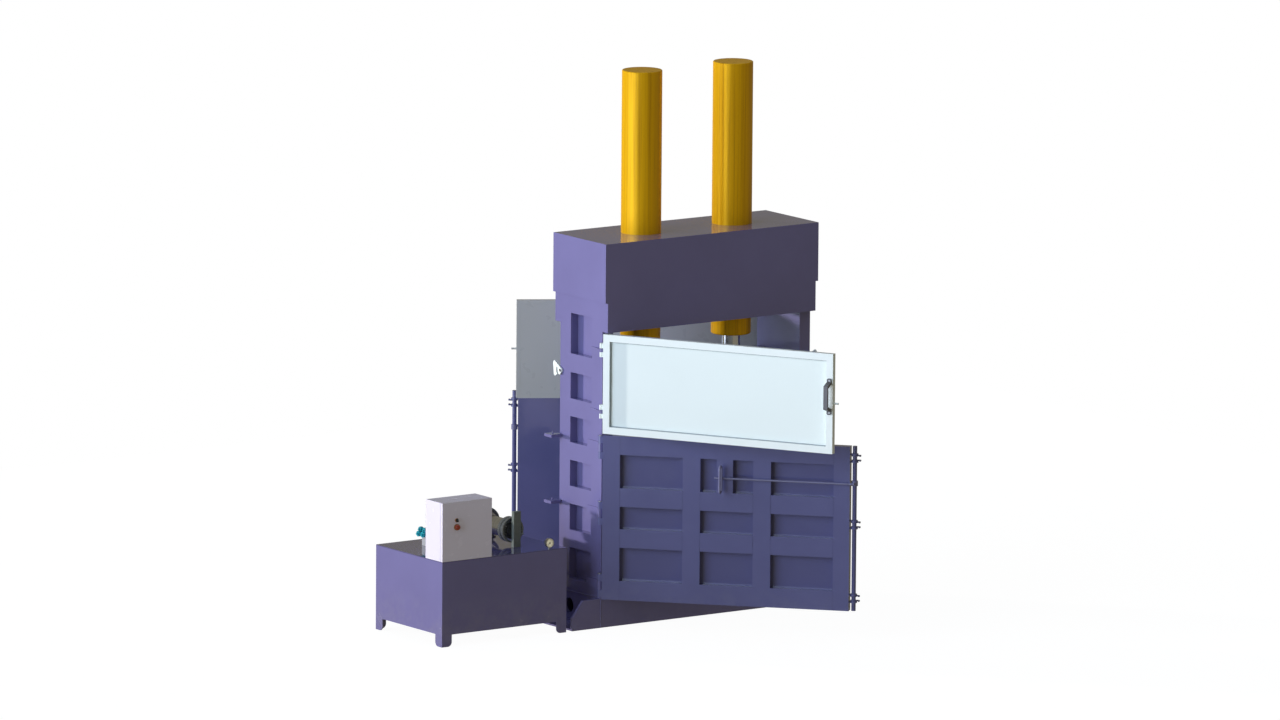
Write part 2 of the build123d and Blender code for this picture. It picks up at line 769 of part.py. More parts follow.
# Lock bar: a shaft with three pairs of claws, each slotted on an arc about the shaft
with BuildPart() as lock_bar:
    with BuildSketch(Plane.XY.offset(lock_bottom_z)):
        with Locations((lock_x, lock_y)):
            Circle(lock_bar_r)
    extrude(amount=lock_top_z - lock_bottom_z)
    claw_near = keeper_thick / 2 + claw_gap
    for z in lock_zs:
        for low in (z + claw_near, z - claw_near - claw_thick):
            with BuildSketch(Plane.XY.offset(low)):
                with Locations((lock_x, lock_y)):
                    Circle(claw_hub_r)
                with Locations((lock_x + claw_length / 2, lock_y + (claw_back - claw_front) / 2)):
                    RectangleRounded(claw_length, claw_back + claw_front, radius=8)
                slot_arc = CenterArc(
                    (lock_x, lock_y), keeper_pin_offset, -60, 60.5, mode=Mode.PRIVATE
                )
                SlotArc(slot_arc, claw_slot, mode=Mode.SUBTRACT)
            extrude(amount=claw_thick)

# Lever: a rod in front of the door, carried by a hub on the shaft, with a closed grip
lever_y = lower_outer_y - lever_gap - lever_r
with BuildPart() as lock_lever:
    with BuildSketch(Plane.XY.offset(lever_z - lever_hub_height / 2)):
        with Locations((lock_x, lock_y)):
            Circle(lever_hub_r)
            Circle(lock_bar_r + pin_fit, mode=Mode.SUBTRACT)
    extrude(amount=lever_hub_height)
    with BuildSketch(Plane.XY.offset(lever_z - lever_r)):
        with Locations((lock_x, (lever_y + lock_y - lever_hub_r) / 2)):
            Rectangle(2 * lever_r, lock_y - lever_hub_r - lever_y + 6)
    extrude(amount=2 * lever_r)
    with BuildSketch(Plane.YZ.offset(lock_x + lever_r - lever_length)):
        with Locations((lever_y, lever_z)):
            Circle(lever_r)
    extrude(amount=lever_length)

# Grip: a closed loop of bar that lies against the front of the lever's rod
with BuildPart() as lever_grip:
    grip_x = lock_x - grip_along
    grip_back_y = lever_y - lever_r - seat_gap - grip_r
    with BuildLine() as grip_path:
        FilletPolyline(
            (grip_x, grip_back_y, lever_z + grip_height / 2),
            (grip_x, grip_back_y - grip_depth, lever_z + grip_height / 2),
            (grip_x, grip_back_y - grip_depth, lever_z - grip_height / 2),
            (grip_x, grip_back_y, lever_z - grip_height / 2),
            close=True,
            radius=grip_round,
        )
    grip_wire = grip_path.wires()[0]
    with BuildSketch(Plane(origin=grip_wire @ 0, z_dir=grip_wire % 0)):
        Circle(grip_r)
    sweep(path=grip_wire)

# Gravity latch: a hooked plate whose slot runs on an arc about its pivot and holds the door's pin
latch_plane = Plane(
    origin=(wall_outer_x, latch_pivot_y, latch_pivot_z), x_dir=(0, 1, 0), z_dir=(1, 0, 0)
)
pin_path = CenterArc((0, 0), latch_slot_r, 165, 110)
with BuildPart() as gravity_latch:
    with BuildSketch(latch_plane.offset(latch_stand)) as latch_outline:
        Polygon(
            (4, 14),
            (-72, 60),
            (-87, 46),
            (-78, -40),
            (-62, -47),
            (-43, -33),
            (-25, -34),
            (-10, -33),
            (12, -8),
            align=None,
        )
        hook_corners = latch_outline.vertices().filter_by(lambda v: v.X < -40)
        fillet(hook_corners, radius=5)
        Circle(latch_eye_r)
        Circle(latch_stud_r + pin_fit, mode=Mode.SUBTRACT)
        SlotArc(pin_path, latch_slot, mode=Mode.SUBTRACT)
    extrude(amount=latch_thick)

# Stud that the latch turns on, with a head that keeps it on, and the peg that it rests against
with BuildPart() as latch_peg:
    with BuildSketch(latch_plane):
        with Locations(latch_peg_place):
            Circle(latch_peg_r)
    extrude(amount=latch_stand + latch_thick)
with BuildPart() as latch_stud:
    with BuildSketch(Plane.YZ.offset(wall_outer_x)):
        with Locations((latch_pivot_y, latch_pivot_z)):
            Circle(latch_head_r)
    extrude(amount=latch_stand - seat_gap)
    with BuildSketch(Plane.YZ.offset(wall_outer_x)):
        with Locations((latch_pivot_y, latch_pivot_z)):
            Circle(latch_stud_r)
    extrude(amount=latch_stand + latch_thick + seat_gap)
    with BuildSketch(Plane.YZ.offset(wall_outer_x + latch_stand + latch_thick + seat_gap)):
        with Locations((latch_pivot_y, latch_pivot_z)):
            Circle(latch_head_r)
    extrude(amount=latch_head)

# Lugs of the upper hinges: a thin plate on the wall that widens to a barrel at the hinge line
with BuildPart() as upper_lugs:
    for z in upper_hinge_zs:
        with BuildSketch(Plane.XY.offset(z - upper_lug_plate / 2)):
            Polygon(
                (-wall_outer_x, upper_lug_back_y),
                (-wall_outer_x, -wall_half_depth + 4),
                (hinge_x + upper_knuckle_r * 0.7, hinge_y + upper_knuckle_r * 0.7),
                (hinge_x - upper_knuckle_r, hinge_y),
                align=None,
            )
            with Locations((hinge_x, hinge_y)):
                Circle(upper_knuckle_r)
                Circle(upper_pin_r + pin_fit, mode=Mode.SUBTRACT)
        extrude(amount=upper_lug_plate)
        with BuildSketch(Plane.XY.offset(z - upper_lug_barrel / 2)):
            with Locations((hinge_x, hinge_y)):
                Circle(upper_knuckle_r)
                Circle(upper_pin_r + pin_fit, mode=Mode.SUBTRACT)
        extrude(amount=upper_lug_barrel)
both_ends(upper_lugs.part, "upper_hinge_lugs")

# Lower hinges: a leaf on the wall that ends in the middle barrel
with BuildPart() as lower_leaves:
    for z in lower_hinge_zs:
        with BuildSketch(Plane.XY.offset(z - lower_leaf_height / 2)):
            Polygon(
                (-wall_outer_x, lower_leaf_back_y),
                (-wall_outer_x, -wall_half_depth + 6),
                (hinge_x + lower_barrel_r * 0.6, hinge_y + lower_barrel_r * 0.8),
                (hinge_x - lower_barrel_r, hinge_y),
                (-wall_outer_x - lower_leaf_thick, -wall_half_depth + 30),
                (-wall_outer_x - lower_leaf_thick, lower_leaf_back_y),
                align=None,
            )
            with Locations((hinge_x, hinge_y)):
                Circle(lower_barrel_r)
                Circle(lower_pin_r + pin_fit, mode=Mode.SUBTRACT)
        extrude(amount=lower_leaf_height)
both_ends(lower_leaves.part, "lower_hinge_leaves")

# Headed pins of all the hinges
with BuildPart() as hinge_pins:
    for zs, stack, pin_r in [
        (upper_hinge_zs, upper_stack, upper_pin_r), (lower_hinge_zs, lower_stack, lower_pin_r)
    ]:
        for z in zs:
            with BuildSketch(Plane.XY.offset(z - stack / 2)):
                with Locations((hinge_x, hinge_y)):
                    Circle(pin_r)
            extrude(amount=stack + seat_gap)
            with BuildSketch(Plane.XY.offset(z + stack / 2 + seat_gap)):
                with Locations((hinge_x, hinge_y)):
                    Circle(pin_r + pin_head_over)
            extrude(amount=pin_head)
both_ends(hinge_pins.part, "hinge_pins")

# Keepers: plates on the wall with a bay for the lock bar and an upright pin for its claws
with BuildPart() as keepers:
    pin_half = keeper_thick / 2 + claw_gap + claw_thick
    for z in lock_zs:
        with BuildSketch(Plane.XY.offset(z - keeper_thick / 2)):
            with Locations((wall_outer_x, keeper_front_y)):
                Rectangle(
                    keeper_reach, keeper_back_y - keeper_front_y, align=(Align.MIN, Align.MIN)
                )
            notch_r = lock_bar_r + keeper_notch_gap
            with Locations((lock_x, lock_y)):
                Circle(notch_r, mode=Mode.SUBTRACT)
            with Locations((lock_x, lock_y)):
                Rectangle(
                    2 * notch_r, 2 * (lock_y - keeper_front_y),
                    align=(Align.CENTER, Align.MAX), mode=Mode.SUBTRACT,
                )
        extrude(amount=keeper_thick)
        with BuildSketch(Plane.XY.offset(z - pin_half)):
            with Locations((lock_x + keeper_pin_offset, lock_y)):
                Circle(keeper_pin_r)
        extrude(amount=2 * pin_half)
both_ends(keepers.part, "lock_keepers")
save(
    Compound(children=[p.moved(end) for p in (latch_stud.part, latch_peg.part) for end in (Location(), rear)]),
    "latch_studs",
)

# The doors, their bars and their latches at the front and at the rear
for end, turn, upper_angle, lower_angle in [
    ("front", Location(), front_upper_angle, front_lower_angle),
    ("rear", rear, rear_upper_angle, rear_lower_angle),
]:
    upper_place = turn * opened(upper_angle)
    lower_place = turn * opened(lower_angle)
    save(upper_frame.part, f"{end}_upper_frame", upper_place)
    save(upper_panel.part, f"{end}_upper_panel", upper_place)
    save(upper_handle.part, f"{end}_upper_handle", upper_place)
    save(lower_grid.part, f"{end}_lower_grid", lower_place)
    save(lower_skin_sheet.part, f"{end}_lower_skin", lower_place)
    save(lock_bar.part, f"{end}_lock_bar", lower_place)
    lever_pieces = [piece.moved(lower_place) for piece in (lock_lever.part, lever_grip.part)]
    save(Compound(children=lever_pieces), f"{end}_lock_lever")
    save(gravity_latch.part, f"{end}_latch", turn)

# Tank: a sheet box on four corner legs, closed by a lid
tank_length = tank_right_x - tank_left_x
tank_depth = tank_rear_y - tank_front_y
tank_x = (tank_left_x + tank_right_x) / 2
tank_y = (tank_front_y + tank_rear_y) / 2
tank_lid_z = tank_top_z - tank_sheet
with BuildPart() as tank:
    with Locations((tank_x, tank_y, 0)):
        Box(
            tank_length, tank_depth, tank_lid_z, align=(Align.CENTER, Align.CENTER, Align.MIN)
        )
    with Locations((tank_x, tank_y, tank_leg_height + tank_sheet)):
        Box(
            tank_length - 2 * tank_sheet, tank_depth - 2 * tank_sheet, tank_lid_z,
            align=(Align.CENTER, Align.CENTER, Align.MIN), mode=Mode.SUBTRACT,
        )
    with Locations((tank_x, tank_y, 0)):
        Box(
            tank_length - 2 * tank_sheet, tank_depth - 2 * tank_sheet, tank_leg_height,
            align=(Align.CENTER, Align.CENTER, Align.MIN), mode=Mode.SUBTRACT,
        )
    for face_plane, middle, span, through in [
        (Plane.XZ.offset(-tank_front_y), tank_x, tank_length, -tank_depth),
        (Plane.YZ.offset(tank_left_x), tank_y, tank_depth, tank_length),
    ]:
        with BuildSketch(face_plane):
            with Locations((middle, 0)):
                Rectangle(span - 2 * tank_leg_width, 2 * tank_leg_height)
            with Locations(
                (middle - span / 2 + tank_leg_width, 0), (middle + span / 2 - tank_leg_width, 0)
            ):
                Rectangle(2 * tank_leg_round, 2 * tank_leg_round)
            with Locations(
                (middle - span / 2 + tank_leg_width - tank_leg_round, tank_leg_round),
                (middle + span / 2 - tank_leg_width + tank_leg_round, tank_leg_round),
            ):
                Circle(tank_leg_round, mode=Mode.SUBTRACT)
        extrude(amount=through, mode=Mode.SUBTRACT)
tank.part.label = "tank"
export_step(tank.part, "parts/tank.step")

with BuildPart() as tank_lid:
    with Locations((tank_x, tank_y, tank_lid_z)):
        Box(
            tank_length, tank_depth, tank_sheet, align=(Align.CENTER, Align.CENTER, Align.MIN)
        )
tank_lid.part.label = "tank_lid"
export_step(tank_lid.part, "parts/tank_lid.step")

# Control cabinet on the front left corner of the lid, with a hinged door
cabinet_x = tank_left_x + cabinet_width / 2
cabinet_front_y = tank_front_y + cabinet_door_depth + cabinet_seal
cabinet_body_depth = cabinet_depth - cabinet_door_depth - cabinet_seal
with BuildPart() as cabinet:
    with Locations((cabinet_x, cabinet_front_y, tank_top_z)):
        Box(
            cabinet_width, cabinet_body_depth, cabinet_height,
            align=(Align.CENTER, Align.MIN, Align.MIN),
        )
    cabinet_mouth = cabinet.faces().sort_by(Axis.Y)[0]
    offset(amount=-cabinet_sheet, openings=cabinet_mouth)
    with BuildSketch(Plane.XZ.offset(-cabinet_front_y)):
        with Locations((cabinet_x, tank_top_z + cabinet_height / 2)):
            Rectangle(cabinet_width - cabinet_sheet, cabinet_height - cabinet_sheet)
            Rectangle(
                cabinet_width - 2 * cabinet_lip, cabinet_height - 2 * cabinet_lip,
                mode=Mode.SUBTRACT,
            )
    extrude(amount=-cabinet_sheet)
cabinet.part.label = "cabinet"
export_step(cabinet.part, "parts/cabinet.step")

# Cabinet hinges on its right wall: a leaf with a knuckle, and a pin standing up from it
cabinet_right_x = tank_left_x + cabinet_width
cabinet_axis_x = cabinet_right_x + cabinet_hinge_r + knuckle_gap
cabinet_axis_y = cabinet_front_y - cabinet_seal / 2
with BuildPart() as cabinet_hinges:
    for z in cabinet_hinge_zs:
        with BuildSketch(Plane.XY.offset(z - cabinet_hinge_height / 2)):
            with Locations((cabinet_right_x, cabinet_axis_y + cabinet_hinge_r - 1)):
                Rectangle(cabinet_leaf, cabinet_leaf_run, align=(Align.MIN, Align.MIN))
        extrude(amount=cabinet_hinge_height)
        with BuildSketch(Plane.XY.offset(z - cabinet_hinge_height / 2)):
            with Locations((cabinet_axis_x, cabinet_axis_y)):
                Circle(cabinet_hinge_r)
            with Locations((cabinet_right_x, cabinet_axis_y)):
                Rectangle(cabinet_hinge_r, cabinet_hinge_r, align=(Align.MIN, Align.MIN))
        extrude(amount=(cabinet_hinge_height - seat_gap) / 2)
        with BuildSketch(Plane.XY.offset(z - cabinet_hinge_height / 2)):
            with Locations((cabinet_axis_x, cabinet_axis_y)):
                Circle(cabinet_hinge_pin_r)
        extrude(amount=cabinet_hinge_height)
cabinet_hinges.part.label = "cabinet_hinges"
export_step(cabinet_hinges.part, "parts/cabinet_hinges.step")

with BuildPart() as cabinet_seal_ring:
    with BuildSketch(Plane.XZ.offset(-cabinet_front_y)):
        with Locations((cabinet_x, tank_top_z + cabinet_height / 2)):
            Rectangle(cabinet_width - 10, cabinet_height - 10)
            Rectangle(
                cabinet_width - 2 * cabinet_lip, cabinet_height - 2 * cabinet_lip,
                mode=Mode.SUBTRACT,
            )
    extrude(amount=cabinet_seal - seat_gap)
cabinet_seal_ring.part.label = "cabinet_seal"
export_step(cabinet_seal_ring.part, "parts/cabinet_seal.step")

# Mounting panel with its switchgear, on four posts inside the cabinet
cabinet_back_y = cabinet_front_y + cabinet_body_depth - cabinet_sheet
panel_y = cabinet_back_y - cabinet_panel_stand
panel_width = cabinet_width - 2 * cabinet_panel_inset
panel_height = cabinet_height - 2 * cabinet_panel_inset
with BuildPart() as cabinet_panel:
    with BuildSketch(Plane.XZ.offset(-panel_y)):
        with Locations((cabinet_x, tank_top_z + cabinet_height / 2)):
            Rectangle(panel_width, panel_height)
    extrude(amount=-cabinet_panel_sheet)
    with BuildSketch(Plane.XZ.offset(-cabinet_back_y)):
        with Locations((cabinet_x, tank_top_z + cabinet_height / 2)):
            post_grid = (panel_width - 2 * panel_post_inset, panel_height - 2 * panel_post_inset)
            with GridLocations(*post_grid, 2, 2):
                Circle(panel_post_r)
    extrude(amount=cabinet_back_y - panel_y - cabinet_panel_sheet)
cabinet_panel.part.label = "cabinet_panel"
export_step(cabinet_panel.part, "parts/cabinet_panel.step")

panel_top_z = tank_top_z + cabinet_height - cabinet_panel_inset
with BuildPart() as switchgear:
    rail_length = panel_width - 2 * switch_rail_inset
    for row, widths in enumerate(switch_rows):
        row_z = panel_top_z - switch_row_drop - switch_body[1] / 2 - row * switch_row_pitch
        with Locations((cabinet_x, panel_y, row_z)):
            Box(
                rail_length, switch_rail_depth, switch_rail_height,
                align=(Align.CENTER, Align.MAX, Align.CENTER),
            )
        x = cabinet_x - rail_length / 2 + switch_start
        for width in widths:
            with Locations((x, panel_y - switch_rail_depth, row_z)):
                for depth, height in (switch_body, switch_nose):
                    Box(width, depth, height, align=(Align.MIN, Align.MAX, Align.CENTER))
            x += width + switch_gap
switchgear.part.label = "switchgear"
export_step(switchgear.part, "parts/switchgear.step")

# Cabinet door: a folded pan, drilled for its two controls
control_x = tank_left_x + control_offset
door_back_y = tank_front_y + cabinet_door_depth
with BuildPart() as cabinet_door:
    with Locations((cabinet_x, tank_front_y, tank_top_z)):
        Box(
            cabinet_width, cabinet_door_depth, cabinet_height,
            align=(Align.CENTER, Align.MIN, Align.MIN),
        )
    pan_mouth = cabinet_door.faces().sort_by(Axis.Y)[-1]
    offset(amount=-cabinet_sheet, openings=pan_mouth)
    with BuildSketch(Plane.XZ.offset(-tank_front_y)):
        with Locations((control_x, stop_button_z)):
            Circle(selector_r + seat_gap)
        with Locations((control_x, selector_z)):
            Circle(selector_r + seat_gap)
    extrude(amount=-cabinet_sheet, mode=Mode.SUBTRACT)
    with BuildSketch(Plane.XZ.offset(-door_back_y)):
        with Locations((cabinet_x, tank_top_z + cabinet_height / 2)):
            Rectangle(cabinet_width - cabinet_sheet, cabinet_height - cabinet_sheet)
            Rectangle(
                cabinet_width - 2 * cabinet_lip, cabinet_height - 2 * cabinet_lip,
                mode=Mode.SUBTRACT,
            )
    extrude(amount=cabinet_sheet)
    # Upper hinge knuckles on their leaves
    for z in cabinet_hinge_zs:
        with BuildSketch(Plane.XY.offset(z + seat_gap / 2)):
            with Locations((cabinet_right_x, door_back_y)):
                Rectangle(cabinet_leaf, cabinet_leaf_run - 2, align=(Align.MIN, Align.MAX))
            with Locations((cabinet_right_x, cabinet_axis_y)):
                Rectangle(
                    cabinet_hinge_r, cabinet_hinge_r - 0.5, align=(Align.MIN, Align.MAX)
                )
            with Locations((cabinet_axis_x, cabinet_axis_y)):
                Circle(cabinet_hinge_r)
                Circle(cabinet_hinge_pin_r + pin_fit, mode=Mode.SUBTRACT)
        extrude(amount=(cabinet_hinge_height - seat_gap) / 2)
cabinet_door.part.label = "cabinet_door"
export_step(cabinet_door.part, "parts/cabinet_door.step")

# Collars of the controls: a flange outside, a threaded neck through the door and a nut behind it
with BuildPart() as control_collars:
    for z, flange_r, bore_r in [
        (stop_button_z, stop_collar_r, stop_stem_r), (selector_z, selector_collar_r, stop_stem_r)
    ]:
        for start, length, radius in [
            (tank_front_y - control_collar, control_collar, flange_r),
            (tank_front_y, control_neck + control_nut, selector_r),
            (tank_front_y + cabinet_sheet, control_nut, control_nut_r),
        ]:
            with BuildSketch(Plane.XZ.offset(-start)):
                with Locations((control_x, z)):
                    Circle(radius)
            extrude(amount=-length)
        with BuildSketch(Plane.XZ.offset(-tank_front_y + control_collar)):
            with Locations((control_x, z)):
                Circle(bore_r + control_fit)
        extrude(amount=-control_collar - control_neck, mode=Mode.SUBTRACT)
control_collars.part.label = "control_collars"
export_step(control_collars.part, "parts/control_collars.step")

with BuildPart() as stop_button:
    cap_back_y = tank_front_y - control_collar - stop_travel - seat_gap
    with BuildSketch(Plane.XZ.offset(-cap_back_y)):
        with Locations((control_x, stop_button_z)):
            Circle(stop_button_r)
    extrude(amount=stop_cap_depth)
    fillet(stop_button.edges().filter_by(GeomType.CIRCLE).sort_by(Axis.Y)[0], radius=stop_cap_round)
    with BuildSketch(Plane.XZ.offset(-cap_back_y)):
        with Locations((control_x, stop_button_z)):
            Circle(stop_stem_r)
    extrude(amount=cap_back_y - tank_front_y - control_neck + stop_travel)
stop_button.part.label = "stop_button"
export_step(stop_button.part, "parts/stop_button.step")

with BuildPart() as selector:
    dial_back_y = tank_front_y - control_collar - seat_gap
    with BuildSketch(Plane.XZ.offset(-dial_back_y)):
        with Locations((control_x, selector_z)):
            Circle(selector_r)
    extrude(amount=selector_dial)
    with BuildSketch(Plane.XZ.offset(-dial_back_y + selector_dial)):
        with Locations((control_x, selector_z)):
            Rectangle(selector_grip_width, 2 * selector_r - 3)
    extrude(amount=selector_grip)
    with BuildSketch(Plane.XZ.offset(-dial_back_y)):
        with Locations((control_x, selector_z)):
            Circle(stop_stem_r)
    extrude(amount=-control_neck)
selector.part.label = "selector"
export_step(selector.part, "parts/selector.step")

# Motor: a finned barrel with its axis along Y, on a foot plate, with a flange at its front
drive_plane = Plane(origin=(drive_x, motor_front_y, drive_z), x_dir=(1, 0, 0), z_dir=(0, 1, 0))
with BuildPart() as motor:
    with BuildSketch(drive_plane):
        Circle(motor_flange_r)
    extrude(amount=motor_flange_thick)
    with BuildSketch(drive_plane):
        Circle(motor_body_r)
    extrude(amount=motor_flange_thick + motor_body_length)
    with BuildSketch(drive_plane.offset(motor_flange_thick)):
        with PolarLocations((motor_body_r + motor_fin_r) / 2 - 2, motor_fin_count):
            Rectangle(motor_fin_r - motor_body_r + 4, motor_fin_thick)
    extrude(amount=motor_body_length)
    foot_y = motor_front_y + motor_flange_thick + motor_body_length / 2
    with Locations((drive_x, foot_y, tank_top_z)):
        Box(
            motor_foot_width, motor_foot_length, motor_foot_plate,
            align=(Align.CENTER, Align.CENTER, Align.MIN),
        )
    foot_web_x = motor_foot_width / 2 - 30
    with Locations((drive_x - foot_web_x, foot_y, tank_top_z), (drive_x + foot_web_x, foot_y, tank_top_z)):
        Box(
            14, motor_foot_length, drive_z - tank_top_z - 60,
            align=(Align.CENTER, Align.CENTER, Align.MIN),
        )
motor.part.label = "motor"
export_step(motor.part, "parts/motor.step")

cover_start = motor_flange_thick + motor_body_length
with BuildPart() as motor_cover:
    with BuildSketch(drive_plane.offset(cover_start)):
        Circle(motor_cover_r)
    extrude(amount=motor_cover_length)
    rear_rim = motor_cover.edges().filter_by(GeomType.CIRCLE).sort_by(Axis.Y)[-1]
    fillet(rear_rim, radius=14)
    with BuildSketch(drive_plane.offset(cover_start)):
        Circle(motor_cover_r - 3)
    extrude(amount=motor_cover_length - 16, mode=Mode.SUBTRACT)
    with BuildSketch(drive_plane.offset(cover_start)):
        with PolarLocations(60, 16):
            Rectangle(46, 7)
    extrude(amount=motor_cover_length, mode=Mode.SUBTRACT)
motor_cover.part.label = "motor_fan_cover"
export_step(motor_cover.part, "parts/motor_fan_cover.step")

box_width, box_length, box_height = motor_box_size
with BuildPart() as motor_box:
    with Locations((drive_x, foot_y, drive_z + motor_fin_r - 6)):
        Box(box_width, box_length, box_height, align=(Align.CENTER, Align.CENTER, Align.MIN))
    fillet(motor_box.edges().filter_by(Axis.Z), radius=8)
    fillet(motor_box.faces().sort_by(Axis.Z)[-1].edges(), radius=4)
    with BuildSketch(drive_plane.offset(motor_flange_thick)):
        Circle(motor_fin_r + seat_gap)
    extrude(amount=motor_body_length, mode=Mode.SUBTRACT)
motor_box.part.label = "motor_terminal_box"
export_step(motor_box.part, "parts/motor_terminal_box.step")

# Pump: a turned barrel in front of the motor flange, closed by a deep ringed cover
pump_barrel_y = pump_face_y + pump_cover_length
with BuildPart() as pump_barrel:
    with BuildSketch(Plane.XZ.offset(-pump_barrel_y)):
        with Locations((drive_x, drive_z)):
            Circle(pump_barrel_r)
    extrude(amount=pump_barrel_y - motor_front_y)
    with BuildSketch(Plane.XZ.offset(-motor_front_y)):
        with Locations((drive_x, drive_z)):
            Circle(pump_barrel_r + 18)
    extrude(amount=14)
pump_barrel.part.label = "pump_barrel"
export_step(pump_barrel.part, "parts/pump_barrel.step")

with BuildPart() as pump_cover:
    with BuildSketch(Plane.XY.offset(drive_z)):
        ring_face = pump_face_y
        Polygon(
            (drive_x, pump_barrel_y),
            (drive_x, ring_face + 18),
            (drive_x + 22, ring_face + 18),
            (drive_x + 22, ring_face + 6),
            (drive_x + 40, ring_face + 6),
            (drive_x + 46, ring_face + 22),
            (drive_x + 58, ring_face + 22),
            (drive_x + 64, ring_face + 8),
            (drive_x + 74, ring_face),
            (drive_x + pump_cover_r, ring_face),
            (drive_x + pump_cover_r, ring_face + 20),
            (drive_x + pump_cover_r - 5, ring_face + 24),
            (drive_x + pump_cover_r - 5, ring_face + 34),
            (drive_x + pump_cover_r, ring_face + 38),
            (drive_x + pump_cover_r, pump_barrel_y),
            align=None,
        )
    revolve(axis=Axis((drive_x, 0, drive_z), (0, 1, 0)))
pump_cover.part.label = "pump_cover"
export_step(pump_cover.part, "parts/pump_cover.step")

# Slim oil cooler standing on the lid in front of the pump, with a short stub on its right
cooler_width, cooler_depth, cooler_height = cooler_size
with BuildPart() as cooler:
    with Locations((cooler_left_x, cooler_front_y, tank_top_z)):
        Box(
            cooler_width, cooler_depth, cooler_height, align=(Align.MIN, Align.MIN, Align.MIN)
        )
    fillet(cooler.edges().filter_by(Axis.Z), radius=4)
    with BuildSketch(Plane.YZ.offset(cooler_left_x + cooler_width)):
        with Locations((cooler_front_y + cooler_depth / 2, tank_top_z + 84)):
            Circle(cooler_handle_r)
    extrude(amount=30)
cooler.part.label = "oil_cooler"
export_step(cooler.part, "parts/oil_cooler.step")

# Valve manifold and two solenoid valves on it, each with a coil to the left
manifold_width, manifold_depth, manifold_height = manifold_size
with BuildPart() as manifold:
    with Locations((manifold_left_x, manifold_rear_y, tank_top_z)):
        Box(
            manifold_width, manifold_depth, manifold_height,
            align=(Align.MIN, Align.MAX, Align.MIN),
        )
    chamfer(manifold.edges().filter_by(Axis.Z), length=3)
manifold.part.label = "valve_manifold"
export_step(manifold.part, "parts/valve_manifold.step")

valve_width, valve_depth, valve_height = valve_body_size
valve_z = tank_top_z + manifold_height
valve_left_x = manifold_left_x + valve_inset
with BuildPart() as valves:
    for valve_y in (manifold_rear_y - valve_edge, manifold_rear_y - valve_edge - valve_pitch):
        with Locations((valve_left_x, valve_y, valve_z)):
            Box(
                valve_width, valve_depth, valve_height,
                align=(Align.MIN, Align.CENTER, Align.MIN),
            )
        for start, length, radius in [
            (valve_left_x - valve_coil_length, valve_coil_length, valve_coil_r),
            (valve_left_x - valve_coil_length - valve_nut, valve_nut, valve_nut_r),
        ]:
            with BuildSketch(Plane.YZ.offset(start)):
                with Locations((valve_y, valve_z + valve_coil_r + valve_coil_rise)):
                    Circle(radius)
            extrude(amount=length)
        for start, length, radius in [
            (valve_z + valve_height, valve_top_height, valve_coil_r),
            (valve_z + valve_height + valve_top_height, valve_top_nut, valve_top_nut_r),
        ]:
            with BuildSketch(Plane.XY.offset(start)):
                with Locations((valve_left_x + valve_width / 2, valve_y)):
                    Circle(radius)
            extrude(amount=length)
valves.part.label = "solenoid_valves"
export_step(valves.part, "parts/solenoid_valves.step")

# Pressure gauge on an upright stem, its dial facing the front
with BuildPart() as gauge:
    with BuildSketch(Plane.XZ.offset(-gauge_y)):
        with Locations((gauge_x, gauge_z)):
            Circle(gauge_r)
    extrude(amount=gauge_depth)
    back_rim = gauge.edges().filter_by(GeomType.CIRCLE).sort_by(Axis.Y)[-1]
    fillet(back_rim, radius=gauge_back_round)
    with BuildSketch(Plane.XZ.offset(-gauge_y + gauge_depth)):
        with Locations((gauge_x, gauge_z)):
            Circle(gauge_r - gauge_rim)
    extrude(amount=-gauge_recess, mode=Mode.SUBTRACT)
    with BuildSketch(Plane.XY.offset(tank_top_z)):
        with Locations((gauge_x, gauge_y - gauge_depth / 2)):
            Circle(gauge_stem_r)
    extrude(amount=gauge_z - gauge_r + gauge_stem_r - tank_top_z)
gauge.part.label = "gauge_case"
export_step(gauge.part, "parts/gauge_case.step")

with BuildPart() as gauge_dial:
    with BuildSketch(Plane.XZ.offset(-gauge_y + gauge_depth - gauge_recess)):
        with Locations((gauge_x, gauge_z)):
            Circle(gauge_r - gauge_rim - seat_gap)
    extrude(amount=gauge_card)
gauge_dial.part.label = "gauge_dial"
export_step(gauge_dial.part, "parts/gauge_dial.step")
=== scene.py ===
# %% [markdown]
# A twin-cylinder recycling baler in Blender.
# The steelwork comes from the CAD model, already at its true size and place. It could be modelled again here,
# but then the two models would drift apart. So this lesson keeps it, gives each piece its finish, adds the
# small things that a maker bolts or welds on, and lights the machine as a studio would.

# %% Load the machine
import json
import math

import bpy
from mathutils import Matrix, Vector


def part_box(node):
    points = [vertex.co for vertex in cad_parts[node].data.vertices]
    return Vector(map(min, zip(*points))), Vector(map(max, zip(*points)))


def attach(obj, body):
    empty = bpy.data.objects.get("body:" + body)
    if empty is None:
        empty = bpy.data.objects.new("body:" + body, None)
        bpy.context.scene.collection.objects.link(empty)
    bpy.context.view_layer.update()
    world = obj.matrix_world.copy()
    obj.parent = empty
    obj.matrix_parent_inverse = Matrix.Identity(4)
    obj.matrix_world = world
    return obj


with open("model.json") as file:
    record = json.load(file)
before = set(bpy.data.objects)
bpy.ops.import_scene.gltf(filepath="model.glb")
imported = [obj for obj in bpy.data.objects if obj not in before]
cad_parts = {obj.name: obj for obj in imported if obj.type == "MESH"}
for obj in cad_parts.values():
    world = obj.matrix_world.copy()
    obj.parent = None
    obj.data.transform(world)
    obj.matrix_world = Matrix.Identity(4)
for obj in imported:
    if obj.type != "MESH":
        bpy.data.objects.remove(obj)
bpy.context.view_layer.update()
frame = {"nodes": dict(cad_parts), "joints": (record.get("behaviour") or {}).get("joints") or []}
nodes = frame["nodes"]
bpy.ops.object.select_all(action="DESELECT")
print("steelwork pieces:", len(nodes))

